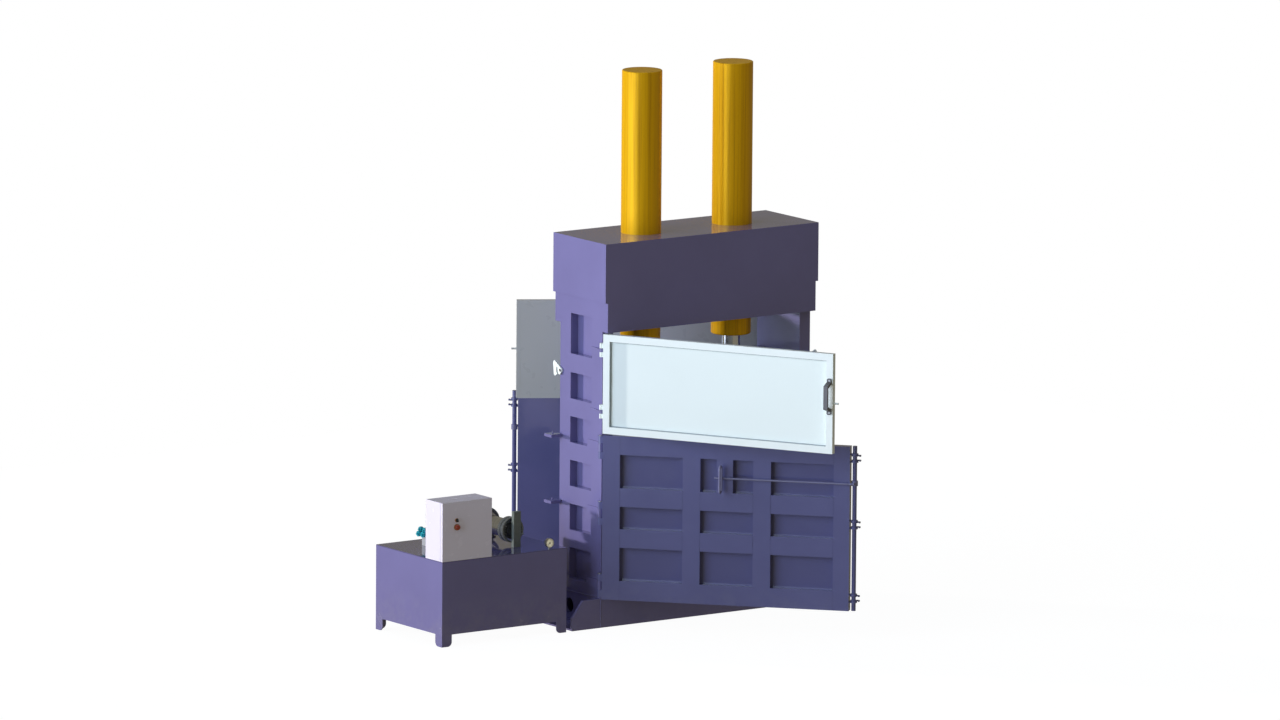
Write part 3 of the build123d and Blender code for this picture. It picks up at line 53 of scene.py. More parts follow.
# %% [markdown]
# The picture has nearly parallel rays, so near and far edges run side by side. An orthographic camera would
# make them exactly parallel. A very long lens from far away comes close to that and is still a real camera.
# It looks from the front left, a little from above, and leans by less than half a degree.

# %% Camera
azimuth = math.radians(35.10)
elevation = math.radians(9.72)
lean = math.radians(0.434)
metres_per_pixel = 0.0068
picture_width = 1280
aim_across = -43.35 * metres_per_pixel
aim_height = 249.3 * metres_per_pixel
lens = 400.0
sensor = 36.0
near_limit, far_limit = 1.0, 400.0
distance = lens * (picture_width * metres_per_pixel) / sensor

ahead = Vector((
    math.sin(azimuth) * math.cos(elevation),
    math.cos(azimuth) * math.cos(elevation),
    -math.sin(elevation),
))
level_right = Vector((math.cos(azimuth), -math.sin(azimuth), 0.0))
level_up = level_right.cross(ahead)
right = level_right * math.cos(lean) + level_up * math.sin(lean)
up = level_up * math.cos(lean) - level_right * math.sin(lean)
aim = right * aim_across + up * aim_height

camera_data = bpy.data.cameras.new("long_lens")
camera_data.lens = lens
camera_data.sensor_width = sensor
camera_data.clip_start = near_limit
camera_data.clip_end = far_limit
camera = bpy.data.objects.new("camera", camera_data)
bpy.context.collection.objects.link(camera)
place = Matrix((right, up, -ahead)).transposed().to_4x4()
place.translation = aim - ahead * distance
camera.matrix_world = place
bpy.context.scene.camera = camera
print("camera stands", round(distance, 1), "m away")

# %% [markdown]
# Every material and the room are nets of nodes. They could be wired by hand in the shader editor. In a script
# the same few moves come back again and again, so they are written once: add a node with its values, feed a
# socket, do sums, and blend two shaders.


# %% Node helpers
def add_node(net, kind, **values):
    """A new node with some of its inputs set by name."""
    node = net.nodes.new(kind)
    for label, value in values.items():
        node.inputs[label].default_value = value
    return node


def feed(net, value, socket):
    """Give a socket a plain value, or link it to the socket that is given."""
    if hasattr(value, "is_output"):
        net.links.new(value, socket)
    else:
        socket.default_value = value


def arithmetic(net, operation, first, second):
    """Two values or sockets joined by one operation."""
    step = add_node(net, "ShaderNodeMath")
    step.operation = operation
    feed(net, first, step.inputs[0])
    feed(net, second, step.inputs[1])
    return step.outputs[0]


def blend_shaders(net, share, first, second):
    """The first shader turned into the second by a share."""
    mix = add_node(net, "ShaderNodeMixShader")
    feed(net, share, mix.inputs["Fac"])
    feed(net, first, mix.inputs[1])
    feed(net, second, mix.inputs[2])
    return mix.outputs[0]


print("node helpers ready")

# %% [markdown]
# A studio floor should read as white paper, but must not throw white light back onto dark paint. A plain
# white floor under strong lamps would do both. So the camera sees bright paper that keeps a faint shadow, and
# the machine sees a sheet that only glows a little. The sheet is small, so that the upper door can mirror the
# lamps on the left from just below the horizon.

# %% Floor
floor_size = 14.0
floor_drop = 0.0005
paper_grey = (0.90, 0.90, 0.90, 1.0)
paper_glow = 1.09
glow_share = 0.88
dim_colour = (1.0, 0.90, 0.66, 1.0)
dim_strength = 0.20

bpy.ops.mesh.primitive_plane_add(size=floor_size, location=(0.0, 0.0, -floor_drop))
floor = bpy.context.active_object
floor.name = "studio_floor"
paper = bpy.data.materials.new("studio_paper")
paper.use_nodes = True
net = paper.node_tree
net.nodes.clear()
matte = add_node(net, "ShaderNodeBsdfDiffuse", Color=paper_grey)
glow = add_node(net, "ShaderNodeEmission", Strength=paper_glow)
bright_paper = blend_shaders(net, glow_share, matte.outputs[0], glow.outputs[0])
faint_glow = add_node(net, "ShaderNodeEmission", Color=dim_colour, Strength=dim_strength)
path = add_node(net, "ShaderNodeLightPath")
sheet = blend_shaders(net, path.outputs["Is Camera Ray"], faint_glow.outputs[0], bright_paper)
sheet_out = add_node(net, "ShaderNodeOutputMaterial")
net.links.new(sheet, sheet_out.inputs["Surface"])
floor.data.materials.append(paper)
print("floor is", floor_size, "m wide")

# %% [markdown]
# The room is white to the eye, and dim and warm to everything else, so that the lamps shape the machine. A
# picture of a real room could light it too, but it would leave its own marks in the paint. Mirrors see a
# trace of the white, and glass lets all of it through.

# %% Room
mirrored_share = 0.03

world = bpy.data.worlds.new("studio_room")
bpy.context.scene.world = world
world.use_nodes = True
net = world.node_tree
net.nodes.clear()
room_light = add_node(net, "ShaderNodeBackground", Color=dim_colour, Strength=dim_strength)
room_white = add_node(net, "ShaderNodeBackground", Color=(1.0, 1.0, 1.0, 1.0), Strength=1.0)
path = add_node(net, "ShaderNodeLightPath")
mirrored = arithmetic(net, "MULTIPLY", path.outputs["Is Glossy Ray"], mirrored_share)
seen = arithmetic(net, "MAXIMUM", path.outputs["Is Camera Ray"], mirrored)
clear = arithmetic(net, "MAXIMUM", seen, path.outputs["Is Transmission Ray"])
room = blend_shaders(net, clear, room_light.outputs[0], room_white.outputs[0])
room_out = add_node(net, "ShaderNodeOutputWorld")
net.links.new(room, room_out.inputs["Surface"])
print("room is white to the camera")

# %% [markdown]
# Three lamps shape the steel. A small warm key lamp stands low on the left and behind, and draws the hard
# edges of shadow inside the windows. A broad bluish soft box fills the left faces, and a weak blue light from
# above lifts the tops. The fronts stay dark, as in the picture. Area lamps would do as well, but sun lamps
# light near and far pieces alike, which suits a machine this tall. The Standard view then shows each colour
# about as it is written.


# %% Lamps
def lamp(name, towards, strength, softness, colour):
    """A distant lamp whose light comes from the direction towards, as soft as its angle in degrees."""
    data = bpy.data.lights.new(name, "SUN")
    data.color = colour
    data.energy = strength
    data.angle = math.radians(softness)
    lamp_object = bpy.data.objects.new(name, data)
    bpy.context.collection.objects.link(lamp_object)
    lamp_object.rotation_euler = Vector(towards).to_track_quat("Z", "Y").to_euler()
    return lamp_object


# The key lamp is kept out of reflections, or it would sparkle in every polished sill
key_lamp = lamp("key_lamp", (-0.641, 0.764, 0.06), 2.9, 2.5, (1.0, 0.93, 0.86))
key_lamp.visible_glossy = False
lamp("soft_box", (-1.0, 0.0, 0.12), 2.35, 62.0, (0.70, 0.82, 1.0))
lamp("top_fill", (0.0, 0.0, 1.0), 0.40, 60.0, (0.38, 0.60, 1.0))
bpy.context.scene.view_settings.view_transform = "Standard"
print("lamps:", len(bpy.data.lights))

# %% [markdown]
# What paint, drawn steel and moulded plastic share is that nothing on them is perfectly even. That unevenness
# could be painted on a picture and wrapped round each piece. Noise that reads the piece's own coordinates
# needs no wrapping, and moves with the piece. Each kind of surface becomes a node group with a few knobs.


# %% Effect helpers
def new_group(name, inputs):
    """A shader node group with named inputs, and a surface's colour, roughness and normal as outputs."""
    group = bpy.data.node_groups.new(name, "ShaderNodeTree")
    for label, kind, value in inputs:
        socket = group.interface.new_socket(label, in_out="INPUT", socket_type=kind)
        socket.default_value = value
    for label, kind in (("Colour", "Color"), ("Roughness", "Float"), ("Normal", "Vector")):
        group.interface.new_socket(label, in_out="OUTPUT", socket_type=f"NodeSocket{kind}")
    return group, group.nodes.new("NodeGroupInput"), group.nodes.new("NodeGroupOutput")


def object_coordinates(net):
    """Where each point of a piece lies, in metres."""
    return net.nodes.new("ShaderNodeTexCoord").outputs["Object"]


def noise(net, scale, detail, coordinates, roughness=0.5):
    """A noise texture read at the given coordinates."""
    texture = add_node(net, "ShaderNodeTexNoise", Detail=detail, Roughness=roughness)
    feed(net, scale, texture.inputs["Scale"])
    net.links.new(coordinates, texture.inputs["Vector"])
    return texture.outputs["Fac"]


def spread(net, value, low, high, to_low, to_high):
    """A value mapped from one range to another."""
    ranges = {"From Min": low, "From Max": high, "To Min": to_low, "To Max": to_high}
    ranger = add_node(net, "ShaderNodeMapRange", **ranges)
    net.links.new(value, ranger.inputs["Value"])
    return ranger.outputs["Result"]


def tint(net, share, base, other):
    """Base turned towards other by a share; each may be a colour or a socket."""
    mix = net.nodes.new("ShaderNodeMix")
    mix.data_type = "RGBA"
    feed(net, share, mix.inputs["Factor"])
    feed(net, base, mix.inputs["A"])
    feed(net, other, mix.inputs["B"])
    return mix.outputs["Result"]


def brighten(net, colour, value):
    """A colour made lighter or darker by a factor."""
    shade = net.nodes.new("ShaderNodeHueSaturation")
    net.links.new(colour, shade.inputs["Color"])
    net.links.new(value, shade.inputs["Value"])
    return shade.outputs["Color"]


def bump(net, height, strength, distance):
    """A normal that makes the surface look raised by distance, in metres."""
    relief = add_node(net, "ShaderNodeBump", Distance=distance)
    net.links.new(height, relief.inputs["Height"])
    net.links.new(strength, relief.inputs["Strength"])
    return relief.outputs[0]


print("effect helpers ready")

# %% [markdown]
# Sprayed enamel covers nearly all the steel. It is never one flat colour: its film is a little thicker here
# and thinner there, it dries with the fine ripple called orange peel, hands smear its shine, and dust settles
# low down. All the paints share these effects, so one group holds them.

# %% Enamel effect
film_scale = 2.3
dust_scale = 9.0
smear_scale = 14.0
peel_scale = 260.0
dust_reach = 0.35
dust_colour = (0.42, 0.40, 0.37, 1.0)
peel_height = 0.0004

enamel, inlet, outlet = new_group("sprayed_enamel", [
    ("Colour", "NodeSocketColor", (0.2, 0.2, 0.4, 1.0)),
    ("Mottle", "NodeSocketFloat", 0.06),
    ("Gloss Roughness", "NodeSocketFloat", 0.16),
    ("Peel", "NodeSocketFloat", 0.05),
    ("Dust", "NodeSocketFloat", 0.25),
])
spot = object_coordinates(enamel)
film = spread(enamel, noise(enamel, film_scale, 4.0, spot), 0.3, 0.7, -1.0, 1.0)
film = arithmetic(enamel, "MULTIPLY", film, inlet.outputs["Mottle"])
film = arithmetic(enamel, "ADD", film, 1.0)
paint = brighten(enamel, inlet.outputs["Colour"], film)

axes = enamel.nodes.new("ShaderNodeSeparateXYZ")
enamel.links.new(spot, axes.inputs[0])
low_down = spread(enamel, axes.outputs["Z"], 0.0, dust_reach, 1.0, 0.0)
patchy = spread(enamel, noise(enamel, dust_scale, 6.0, spot, 0.65), 0.42, 0.75, 0.0, 1.0)
dust = arithmetic(enamel, "MULTIPLY", low_down, patchy)
dust = arithmetic(enamel, "MULTIPLY", dust, inlet.outputs["Dust"])
enamel.links.new(tint(enamel, dust, paint, dust_colour), outlet.inputs["Colour"])

smear = spread(enamel, noise(enamel, smear_scale, 3.0, spot), 0.35, 0.7, -0.03, 0.05)
rough = arithmetic(enamel, "ADD", inlet.outputs["Gloss Roughness"], smear)
enamel.links.new(arithmetic(enamel, "ADD", rough, dust), outlet.inputs["Roughness"])
peel = bump(enamel, noise(enamel, peel_scale, 1.0, spot), inlet.outputs["Peel"], peel_height)
enamel.links.new(peel, outlet.inputs["Normal"])
print("enamel group has", len(enamel.nodes), "nodes")

# %% [markdown]
# Tubes and bars show fine lines along their length, from drawing or grinding. Each line could be cut in the
# mesh, but that would take millions of faces. Here the lines are noise, squeezed hard across the bar and
# stretched along it. One group serves the gold cylinders, the rods and the bare steel. Its Stretch knob holds
# one number for each axis, and the smallest is the way that the lines run.

# %% Drawn-line effect
line_height = 0.0004
line_roughness = 0.12

drawn, inlet, outlet = new_group("drawn_lines", [
    ("Colour", "NodeSocketColor", (0.6, 0.6, 0.6, 1.0)),
    ("Line Colour", "NodeSocketColor", (0.3, 0.3, 0.3, 1.0)),
    ("Amount", "NodeSocketFloat", 0.5),
    ("Stretch", "NodeSocketVector", (60.0, 60.0, 1.0)),
    ("Base Roughness", "NodeSocketFloat", 0.3),
    ("Depth", "NodeSocketFloat", 0.1),
])
squeeze = drawn.nodes.new("ShaderNodeVectorMath")
squeeze.operation = "MULTIPLY"
drawn.links.new(object_coordinates(drawn), squeeze.inputs[0])
drawn.links.new(inlet.outputs["Stretch"], squeeze.inputs[1])
lines = noise(drawn, 1.0, 3.0, squeeze.outputs[0], 0.6)
dark_lines = spread(drawn, lines, 0.48, 0.72, 0.0, 1.0)
amount = arithmetic(drawn, "MULTIPLY", dark_lines, inlet.outputs["Amount"])
lined = tint(drawn, amount, inlet.outputs["Colour"], inlet.outputs["Line Colour"])
drawn.links.new(lined, outlet.inputs["Colour"])
scuffed = arithmetic(drawn, "MULTIPLY", lines, line_roughness)
scuffed = arithmetic(drawn, "ADD", inlet.outputs["Base Roughness"], scuffed)
drawn.links.new(scuffed, outlet.inputs["Roughness"])
grooves = bump(drawn, lines, inlet.outputs["Depth"], line_height)
drawn.links.new(grooves, outlet.inputs["Normal"])
print("drawn-line group has", len(drawn.nodes), "nodes")

# %% [markdown]
# Moulded plastic, rubber and cast housings share a fine grain: tiny pits that break up the shine. Only the
# size of the grain and its depth tell them apart, so they share a group too.

# %% Moulded-grain effect
cloud_scale = 30.0
pit_height = 0.0003

grain, inlet, outlet = new_group("moulded_grain", [
    ("Colour", "NodeSocketColor", (0.1, 0.1, 0.1, 1.0)),
    ("Base Roughness", "NodeSocketFloat", 0.5),
    ("Grain Scale", "NodeSocketFloat", 500.0),
    ("Depth", "NodeSocketFloat", 0.2),
])
spot = object_coordinates(grain)
pits = noise(grain, inlet.outputs["Grain Scale"], 2.0, spot)
cloudy = spread(grain, noise(grain, cloud_scale, 3.0, spot), 0.3, 0.7, 0.9, 1.08)
grain.links.new(brighten(grain, inlet.outputs["Colour"], cloudy), outlet.inputs["Colour"])
worn = spread(grain, pits, 0.3, 0.7, -0.05, 0.08)
worn = arithmetic(grain, "ADD", inlet.outputs["Base Roughness"], worn)
grain.links.new(worn, outlet.inputs["Roughness"])
grain.links.new(bump(grain, pits, inlet.outputs["Depth"], pit_height), outlet.inputs["Normal"])
print("grain group has", len(grain.nodes), "nodes")

# %% [markdown]
# A finish is a shader fed by one of the groups. The numbers that are the same all over, such as how metallic
# it is or how strong its clear coat is, could be knobs of the group too. They stay on the shader itself,
# where they are easy to find and to change for one finish alone.


# %% Finish helper
coat_roughness = 0.04


def finish(name, group, knobs, metallic=0.0, coat=0.0, specular=0.5):
    """A material whose shader takes colour, roughness and normal from a group."""
    material = bpy.data.materials.new(name)
    material.use_nodes = True
    material.diffuse_color = knobs["Colour"]
    net = material.node_tree
    shader = net.nodes["Principled BSDF"]
    shader.inputs["Metallic"].default_value = metallic
    shader.inputs["Coat Weight"].default_value = coat
    shader.inputs["Coat Roughness"].default_value = coat_roughness
    shader.inputs["Specular IOR Level"].default_value = specular
    effect = net.nodes.new("ShaderNodeGroup")
    effect.node_tree = group
    for label, value in knobs.items():
        effect.inputs[label].default_value = value
    net.links.new(effect.outputs["Colour"], shader.inputs["Base Color"])
    net.links.new(effect.outputs["Roughness"], shader.inputs["Roughness"])
    net.links.new(effect.outputs["Normal"], shader.inputs["Normal"])
    return material


print("clear coats have a roughness of", coat_roughness)

# %% [markdown]
# The machine is sprayed in a glossy violet, with a bluer violet on the lower doors. The skin behind each
# door's grid is painted a touch darker than the grid, as painted shade in the recesses, and the lock bars
# share that darker copy.
# The tank's lid is darker and shinier. One violet for all would be simpler, but the doors would then melt
# into the frame. A clear coat over the colour gives the deep shine of enamel.

# %% Violet enamels
violet = (0.185, 0.172, 0.385, 1.0)
violet_enamel = finish(
    "violet_enamel", enamel, {"Colour": violet, "Mottle": 0.05, "Gloss Roughness": 0.14}, coat=0.55,
)
lid_enamel = finish(
    "lid_enamel", enamel,
    {"Colour": (0.120, 0.112, 0.250, 1.0), "Mottle": 0.03, "Gloss Roughness": 0.07}, coat=0.6,
)
# A darker copy of the door violet: painted shade for the recessed skin behind the grid.
painted_shade_door_enamel = finish(
    "painted_shade_door_enamel", enamel,
    {"Colour": (0.120, 0.124, 0.300, 1.0), "Mottle": 0.05, "Gloss Roughness": 0.16}, coat=0.5,
)
grid_enamel = finish(
    "grid_enamel", enamel,
    {"Colour": (0.142, 0.148, 0.342, 1.0), "Mottle": 0.05, "Gloss Roughness": 0.16}, coat=0.5,
)
lever_enamel = finish(
    "lever_enamel", enamel,
    {"Colour": (0.215, 0.215, 0.380, 1.0), "Mottle": 0.08, "Gloss Roughness": 0.12}, coat=0.6,
)
base_enamel = finish(
    "base_enamel", enamel,
    {"Colour": violet, "Mottle": 0.06, "Gloss Roughness": 0.18, "Dust": 0.08}, coat=0.4,
)
print("finishes:", len(bpy.data.materials))

# %% [markdown]
# The upper doors and the cabinet are pale. A pale paint that is too bright turns into a flat white patch
# under the lamps, so each keeps a tint of its own: cool for the doors and a little lilac for the cabinet. The
# door at the back is white like the front one, but it is painted grey all over, frame and sheet, as painted
# shade on its inner face.

# %% Pale enamels
white_enamel = finish(
    "white_enamel", enamel,
    {"Colour": (0.92, 1.0, 1.0, 1.0), "Mottle": 0.015, "Gloss Roughness": 0.22, "Dust": 0.1}, coat=0.3,
)
cabinet_enamel = finish(
    "cabinet_enamel", enamel,
    {
        "Colour": (0.84, 0.80, 0.96, 1.0), "Mottle": 0.015, "Gloss Roughness": 0.24,
        "Peel": 0.12, "Dust": 0.05,
    },
    coat=0.25,
)
panel_enamel = finish(
    "panel_enamel", enamel,
    {"Colour": (0.90, 1.0, 1.0, 1.0), "Mottle": 0.01, "Gloss Roughness": 0.34, "Dust": 0.1}, coat=0.25,
)
# Grey standing in for the shade on the inner face of the white rear door: painted shade.
painted_shade_grey_enamel = finish(
    "painted_shade_grey_enamel", enamel,
    {"Colour": (0.61, 0.63, 0.63, 1.0), "Mottle": 0.02, "Gloss Roughness": 0.30, "Dust": 0.1}, coat=0.2,
)
print("finishes:", len(bpy.data.materials))

# %% [markdown]
# The cylinders are tubes painted gold, with lines that run upwards. Their paint holds metal flakes, so the
# shader is part paint and part metal. The rods are hard chrome, and bolts, pins and the pump's barrel are
# steel or alloy as it comes from the tool. Knobs for the stretch turn the lines along each piece.

# %% Drawn and ground metals
gold_tube = finish(
    "gold_tube", drawn,
    {
        "Colour": (0.95, 0.51, 0.005, 1.0), "Line Colour": (0.60, 0.29, 0.005, 1.0), "Amount": 0.75,
        "Stretch": (55.0, 55.0, 0.7), "Base Roughness": 0.32, "Depth": 0.25,
    },
    metallic=0.35, specular=0.2,
)
chrome = finish(
    "hard_chrome", drawn,
    {
        "Colour": (0.78, 0.79, 0.81, 1.0), "Line Colour": (0.55, 0.56, 0.58, 1.0), "Amount": 0.3,
        "Stretch": (90.0, 90.0, 4.0), "Base Roughness": 0.05, "Depth": 0.05,
    },
    metallic=1.0,
)
bare_steel = finish(
    "bare_steel", drawn,
    {
        "Colour": (0.50, 0.50, 0.51, 1.0), "Line Colour": (0.30, 0.29, 0.28, 1.0), "Amount": 0.5,
        "Stretch": (300.0, 300.0, 40.0), "Base Roughness": 0.28, "Depth": 0.15,
    },
    metallic=1.0,
)
silver_barrel = finish(
    "silver_barrel", drawn,
    {
        "Colour": (0.62, 0.63, 0.64, 1.0), "Line Colour": (0.25, 0.26, 0.28, 1.0), "Amount": 0.6,
        "Stretch": (6.0, 130.0, 6.0), "Base Roughness": 0.16, "Depth": 0.2,
    },
    metallic=1.0,
)
manifold_alloy = finish(
    "manifold_alloy", drawn,
    {
        "Colour": (0.78, 0.80, 0.83, 1.0), "Line Colour": (0.55, 0.58, 0.62, 1.0), "Amount": 0.35,
        "Stretch": (5.0, 160.0, 160.0), "Base Roughness": 0.26, "Depth": 0.1,
    },
    metallic=0.55,
)
print("finishes:", len(bpy.data.materials))

# %% [markdown]
# The motor, the pump's cover and the pull handles are castings, and the cooler and the valves are painted
# castings. Their grain is coarse beside that of plastic. Zinc-plated pieces come last: plating has a faint
# grain as well, but is all metal.

# %% Castings and plating
dark_casting = finish(
    "dark_casting", grain,
    {"Colour": (0.085, 0.090, 0.100, 1.0), "Base Roughness": 0.36, "Grain Scale": 240.0, "Depth": 0.3},
    coat=0.25,
)
ring_casting = finish(
    "ring_casting", grain,
    {"Colour": (0.20, 0.22, 0.23, 1.0), "Base Roughness": 0.24, "Grain Scale": 260.0, "Depth": 0.2},
    metallic=0.6, coat=0.3,
)
grip_metal = finish(
    "grip_metal", grain,
    {"Colour": (0.115, 0.110, 0.120, 1.0), "Base Roughness": 0.34, "Grain Scale": 420.0, "Depth": 0.25},
    metallic=0.25, coat=0.15,
)
cooler_paint = finish(
    "cooler_paint", grain,
    {"Colour": (0.20, 0.235, 0.215, 1.0), "Base Roughness": 0.36, "Grain Scale": 320.0, "Depth": 0.2},
)
teal_paint = finish(
    "teal_paint", grain,
    {"Colour": (0.015, 0.34, 0.42, 1.0), "Base Roughness": 0.28, "Grain Scale": 300.0, "Depth": 0.2},
    coat=0.3,
)
zinc = finish(
    "zinc_plate", grain,
    {"Colour": (0.56, 0.57, 0.58, 1.0), "Base Roughness": 0.30, "Grain Scale": 150.0, "Depth": 0.08},
    metallic=1.0,
)
print("finishes:", len(bpy.data.materials))

# %% [markdown]
# Guides, seals, switches and buttons are plastic or rubber, and the gauge has a printed card. Black plastic
# is never quite black, or its shape would be lost in the shadows.

# %% Plastic, rubber and card
black_plastic = finish(
    "black_plastic", grain,
    {"Colour": (0.020, 0.020, 0.022, 1.0), "Base Roughness": 0.46, "Grain Scale": 700.0, "Depth": 0.2},
)
grey_plastic = finish(
    "grey_plastic", grain,
    {"Colour": (0.30, 0.31, 0.32, 1.0), "Base Roughness": 0.42, "Grain Scale": 700.0, "Depth": 0.15},
)
rubber = finish(
    "rubber", grain,
    {"Colour": (0.012, 0.012, 0.013, 1.0), "Base Roughness": 0.72, "Grain Scale": 300.0, "Depth": 0.4},
)
# Grey for the strip that paints the shadow line round each upper door's sheet: painted shadow.
painted_shadow_grey = finish(
    "painted_shadow_grey", grain,
    {"Colour": (0.30, 0.36, 0.41, 1.0), "Base Roughness": 0.6, "Grain Scale": 300.0, "Depth": 0.1},
)
red_plastic = finish(
    "red_plastic", grain,
    {"Colour": (0.38, 0.050, 0.026, 1.0), "Base Roughness": 0.28, "Grain Scale": 900.0, "Depth": 0.05},
    coat=0.3,
)
yellow_plastic = finish(
    "yellow_plastic", grain,
    {"Colour": (0.46, 0.24, 0.11, 1.0), "Base Roughness": 0.34, "Grain Scale": 900.0, "Depth": 0.05},
)
dial_card = finish(
    "dial_card", grain,
    {"Colour": (0.76, 0.70, 0.50, 1.0), "Base Roughness": 0.6, "Grain Scale": 900.0, "Depth": 0.05},
)
print("finishes:", len(bpy.data.materials))

# %% [markdown]
# Each piece of steelwork now takes its finish. The CAD meshes keep their shape, and only their material
# changes. The finish could be given face by face, but every piece here has one colour all over.


# %% Dress the steelwork
def dress(material, *names):
    """Give the named pieces one finish."""
    for name in names:
        slots = nodes[name].data.materials
        slots.clear()
        slots.append(material)


dress(violet_enamel, "side_ladder_left", "side_ladder_right", "side_liners", "crosshead")
dress(violet_enamel, "crosshead_skirts", "platen", "upper_hinge_lugs", "lower_hinge_leaves")
dress(violet_enamel, "lock_keepers", "tank")
dress(lid_enamel, "tank_lid")
dress(base_enamel, "base_frame", "outriggers", "chamber_floor", "floor_strips", "platen_strips")
dress(gold_tube, "cylinders", "cylinder_glands")
dress(chrome, "rods")
dress(bare_steel, "pistons", "rod_bolts", "cylinder_bolts", "hinge_pins", "latch_studs")
dress(bare_steel, "cabinet_hinges", "gauge_case")
dress(black_plastic, "platen_guides", "selector")
dress(zinc, "cabinet_panel")
dress(cabinet_enamel, "cabinet", "cabinet_door")
dress(rubber, "cabinet_seal")
dress(grey_plastic, "switchgear")
dress(yellow_plastic, "control_collars")
dress(red_plastic, "stop_button")
dress(dark_casting, "motor", "motor_fan_cover", "motor_terminal_box")
dress(silver_barrel, "pump_barrel")
dress(ring_casting, "pump_cover")
dress(cooler_paint, "oil_cooler")
dress(manifold_alloy, "valve_manifold")
dress(teal_paint, "solenoid_valves")
dress(dial_card, "gauge_dial")

ends = ("front", "rear")
for end in ends:
    dress(grip_metal, f"{end}_upper_handle")
    dress(grid_enamel, f"{end}_lower_grid")
    # The skin takes the darker copy, as painted shade behind the grid.
    dress(painted_shade_door_enamel, f"{end}_lower_skin", f"{end}_lock_bar")
    dress(lever_enamel, f"{end}_lock_lever")
    dress(white_enamel, f"{end}_latch")
dress(white_enamel, "front_upper_frame")
dress(panel_enamel, "front_upper_panel")
# The rear door's frame and sheet take the grey, as painted shade.
dress(painted_shade_grey_enamel, "rear_upper_frame", "rear_upper_panel")
print("finishes on the steelwork:", len({node.data.materials[0].name for node in nodes.values()}))

# %% [markdown]
# Small hardware is modelled once where it stands and copied. An operator works on all that is selected, so
# each helper first deselects everything. They add a primitive and put its place into its mesh, pick faces by
# where they look, round edges, and copy and join.


# %% Modelling helpers
bevel_angle = math.radians(40)
turn_to = {"X": (0, math.pi / 2, 0), "Y": (math.pi / 2, 0, 0), "Z": (0, 0, 0)}


def alone(*objects):
    """Select only these objects; the first becomes active."""
    bpy.ops.object.select_all(action="DESELECT")
    for thing in objects:
        thing.select_set(True)
    bpy.context.view_layer.objects.active = objects[0]


def settle(thing):
    """Put an object's place, turn and scale into its mesh."""
    thing.data.transform(thing.matrix_basis)
    thing.matrix_basis = Matrix.Identity(4)
    return thing


def block(width, depth, height):
    """A block round the origin."""
    bpy.ops.object.select_all(action="DESELECT")
    bpy.ops.mesh.primitive_cube_add(size=1.0)
    piece = bpy.context.active_object
    piece.scale = (width, depth, height)
    return settle(piece)


def cylinder(sides, radius, length, middle, axis):
    """A cylinder that lies along an axis."""
    bpy.ops.object.select_all(action="DESELECT")
    bpy.ops.mesh.primitive_cylinder_add(
        vertices=sides, radius=radius, depth=length, location=middle, rotation=turn_to[axis]
    )
    return settle(bpy.context.active_object)


def pick_faces(thing, wanted):
    """In edit mode, select the faces for which wanted(face) holds."""
    bpy.ops.mesh.select_mode(type="FACE")
    bpy.ops.mesh.select_all(action="DESELECT")
    bpy.ops.object.mode_set(mode="OBJECT")
    for face in thing.data.polygons:
        face.select = wanted(face)
    bpy.ops.object.mode_set(mode="EDIT")


def soften(thing, width, segments=2):
    """Round the edges of a piece by a bevel that is applied."""
    alone(thing)
    bevel = thing.modifiers.new("rounding", "BEVEL")
    bevel.width = width
    bevel.segments = segments
    bevel.limit_method = "ANGLE"
    bevel.angle_limit = bevel_angle
    bpy.ops.object.modifier_apply(modifier=bevel.name)


def copy_at(thing, name, place):
    """A copy with its own mesh, moved by a matrix."""
    twin = thing.copy()
    twin.data = thing.data.copy()
    twin.name = name
    bpy.context.collection.objects.link(twin)
    twin.data.transform(place)
    return twin


def join_all(name, things):
    """One object from several."""
    alone(*things)
    bpy.ops.object.join()
    joined = bpy.context.active_object
    joined.name = name
    return joined


def carry(thing, material, body="frame", angle=35):
    """Finish a piece: material, smooth shading, material slot and the body that it rides on."""
    thing.data.materials.clear()
    thing.data.materials.append(material)
    alone(thing)
    bpy.ops.object.shade_smooth_by_angle(angle=math.radians(angle))
    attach(thing, body)


print("modelling helpers ready")

# %% [markdown]
# The open doors stand askew, and a screw is hard to place on a slope. It is much easier while the door is
# shut, square to the machine, and the hinge then swings it with its door. The joint of the hinge tells how
# far: its upper limit is the closed door. The rear doors are the front ones after half a turn.

# %% Where the doors stand
joints = {joint["name"]: joint for joint in frame["joints"]}


def door_place(end):
    """The move that takes a piece on the shut front upper door to where the upper door of an end stands."""
    joint = joints[f"{end}_upper_door_hinge"]
    pivot = Vector((joint["pos_m"][0], joint["pos_m"][1], 0.0))
    shut = -math.radians(joint["range_deg"][1])
    swing = Matrix.Translation(pivot) @ Matrix.Rotation(shut, 4, "Z") @ Matrix.Translation(-pivot)
    if end == "rear":
        swing = swing @ Matrix.Rotation(math.pi, 4, "Z")
    return swing


print("front upper door stands at", round(-joints["front_upper_door_hinge"]["range_deg"][1], 1), "degrees")

# %% [markdown]
# The pull handle is held by a screw in each of its feet. A screw head could be a plain disc at this size, but
# the recess for the driver catches the light. The head starts as a short cylinder. Its front face is inset
# twice, for the rim and the chamfer, and pushed in for the recess, and a bevel rounds what is left.


# %% Handle screws
def socket_screw(name, radius, height):
    """A screw head that faces -Y, standing on the plane y = 0, with a round recess for the driver."""
    head = cylinder(24, radius, height, (0, -height / 2, 0), "Y")
    head.name = name
    bpy.ops.object.mode_set(mode="EDIT")
    pick_faces(head, lambda face: face.normal.y < -0.9)
    bpy.ops.mesh.inset(thickness=radius * 0.22)
    bpy.ops.mesh.inset(thickness=radius * 0.18)
    bpy.ops.mesh.extrude_region_move(TRANSFORM_OT_translate={"value": (0, height * 0.55, 0)})
    bpy.ops.object.mode_set(mode="OBJECT")
    soften(head, radius * 0.10)
    return head


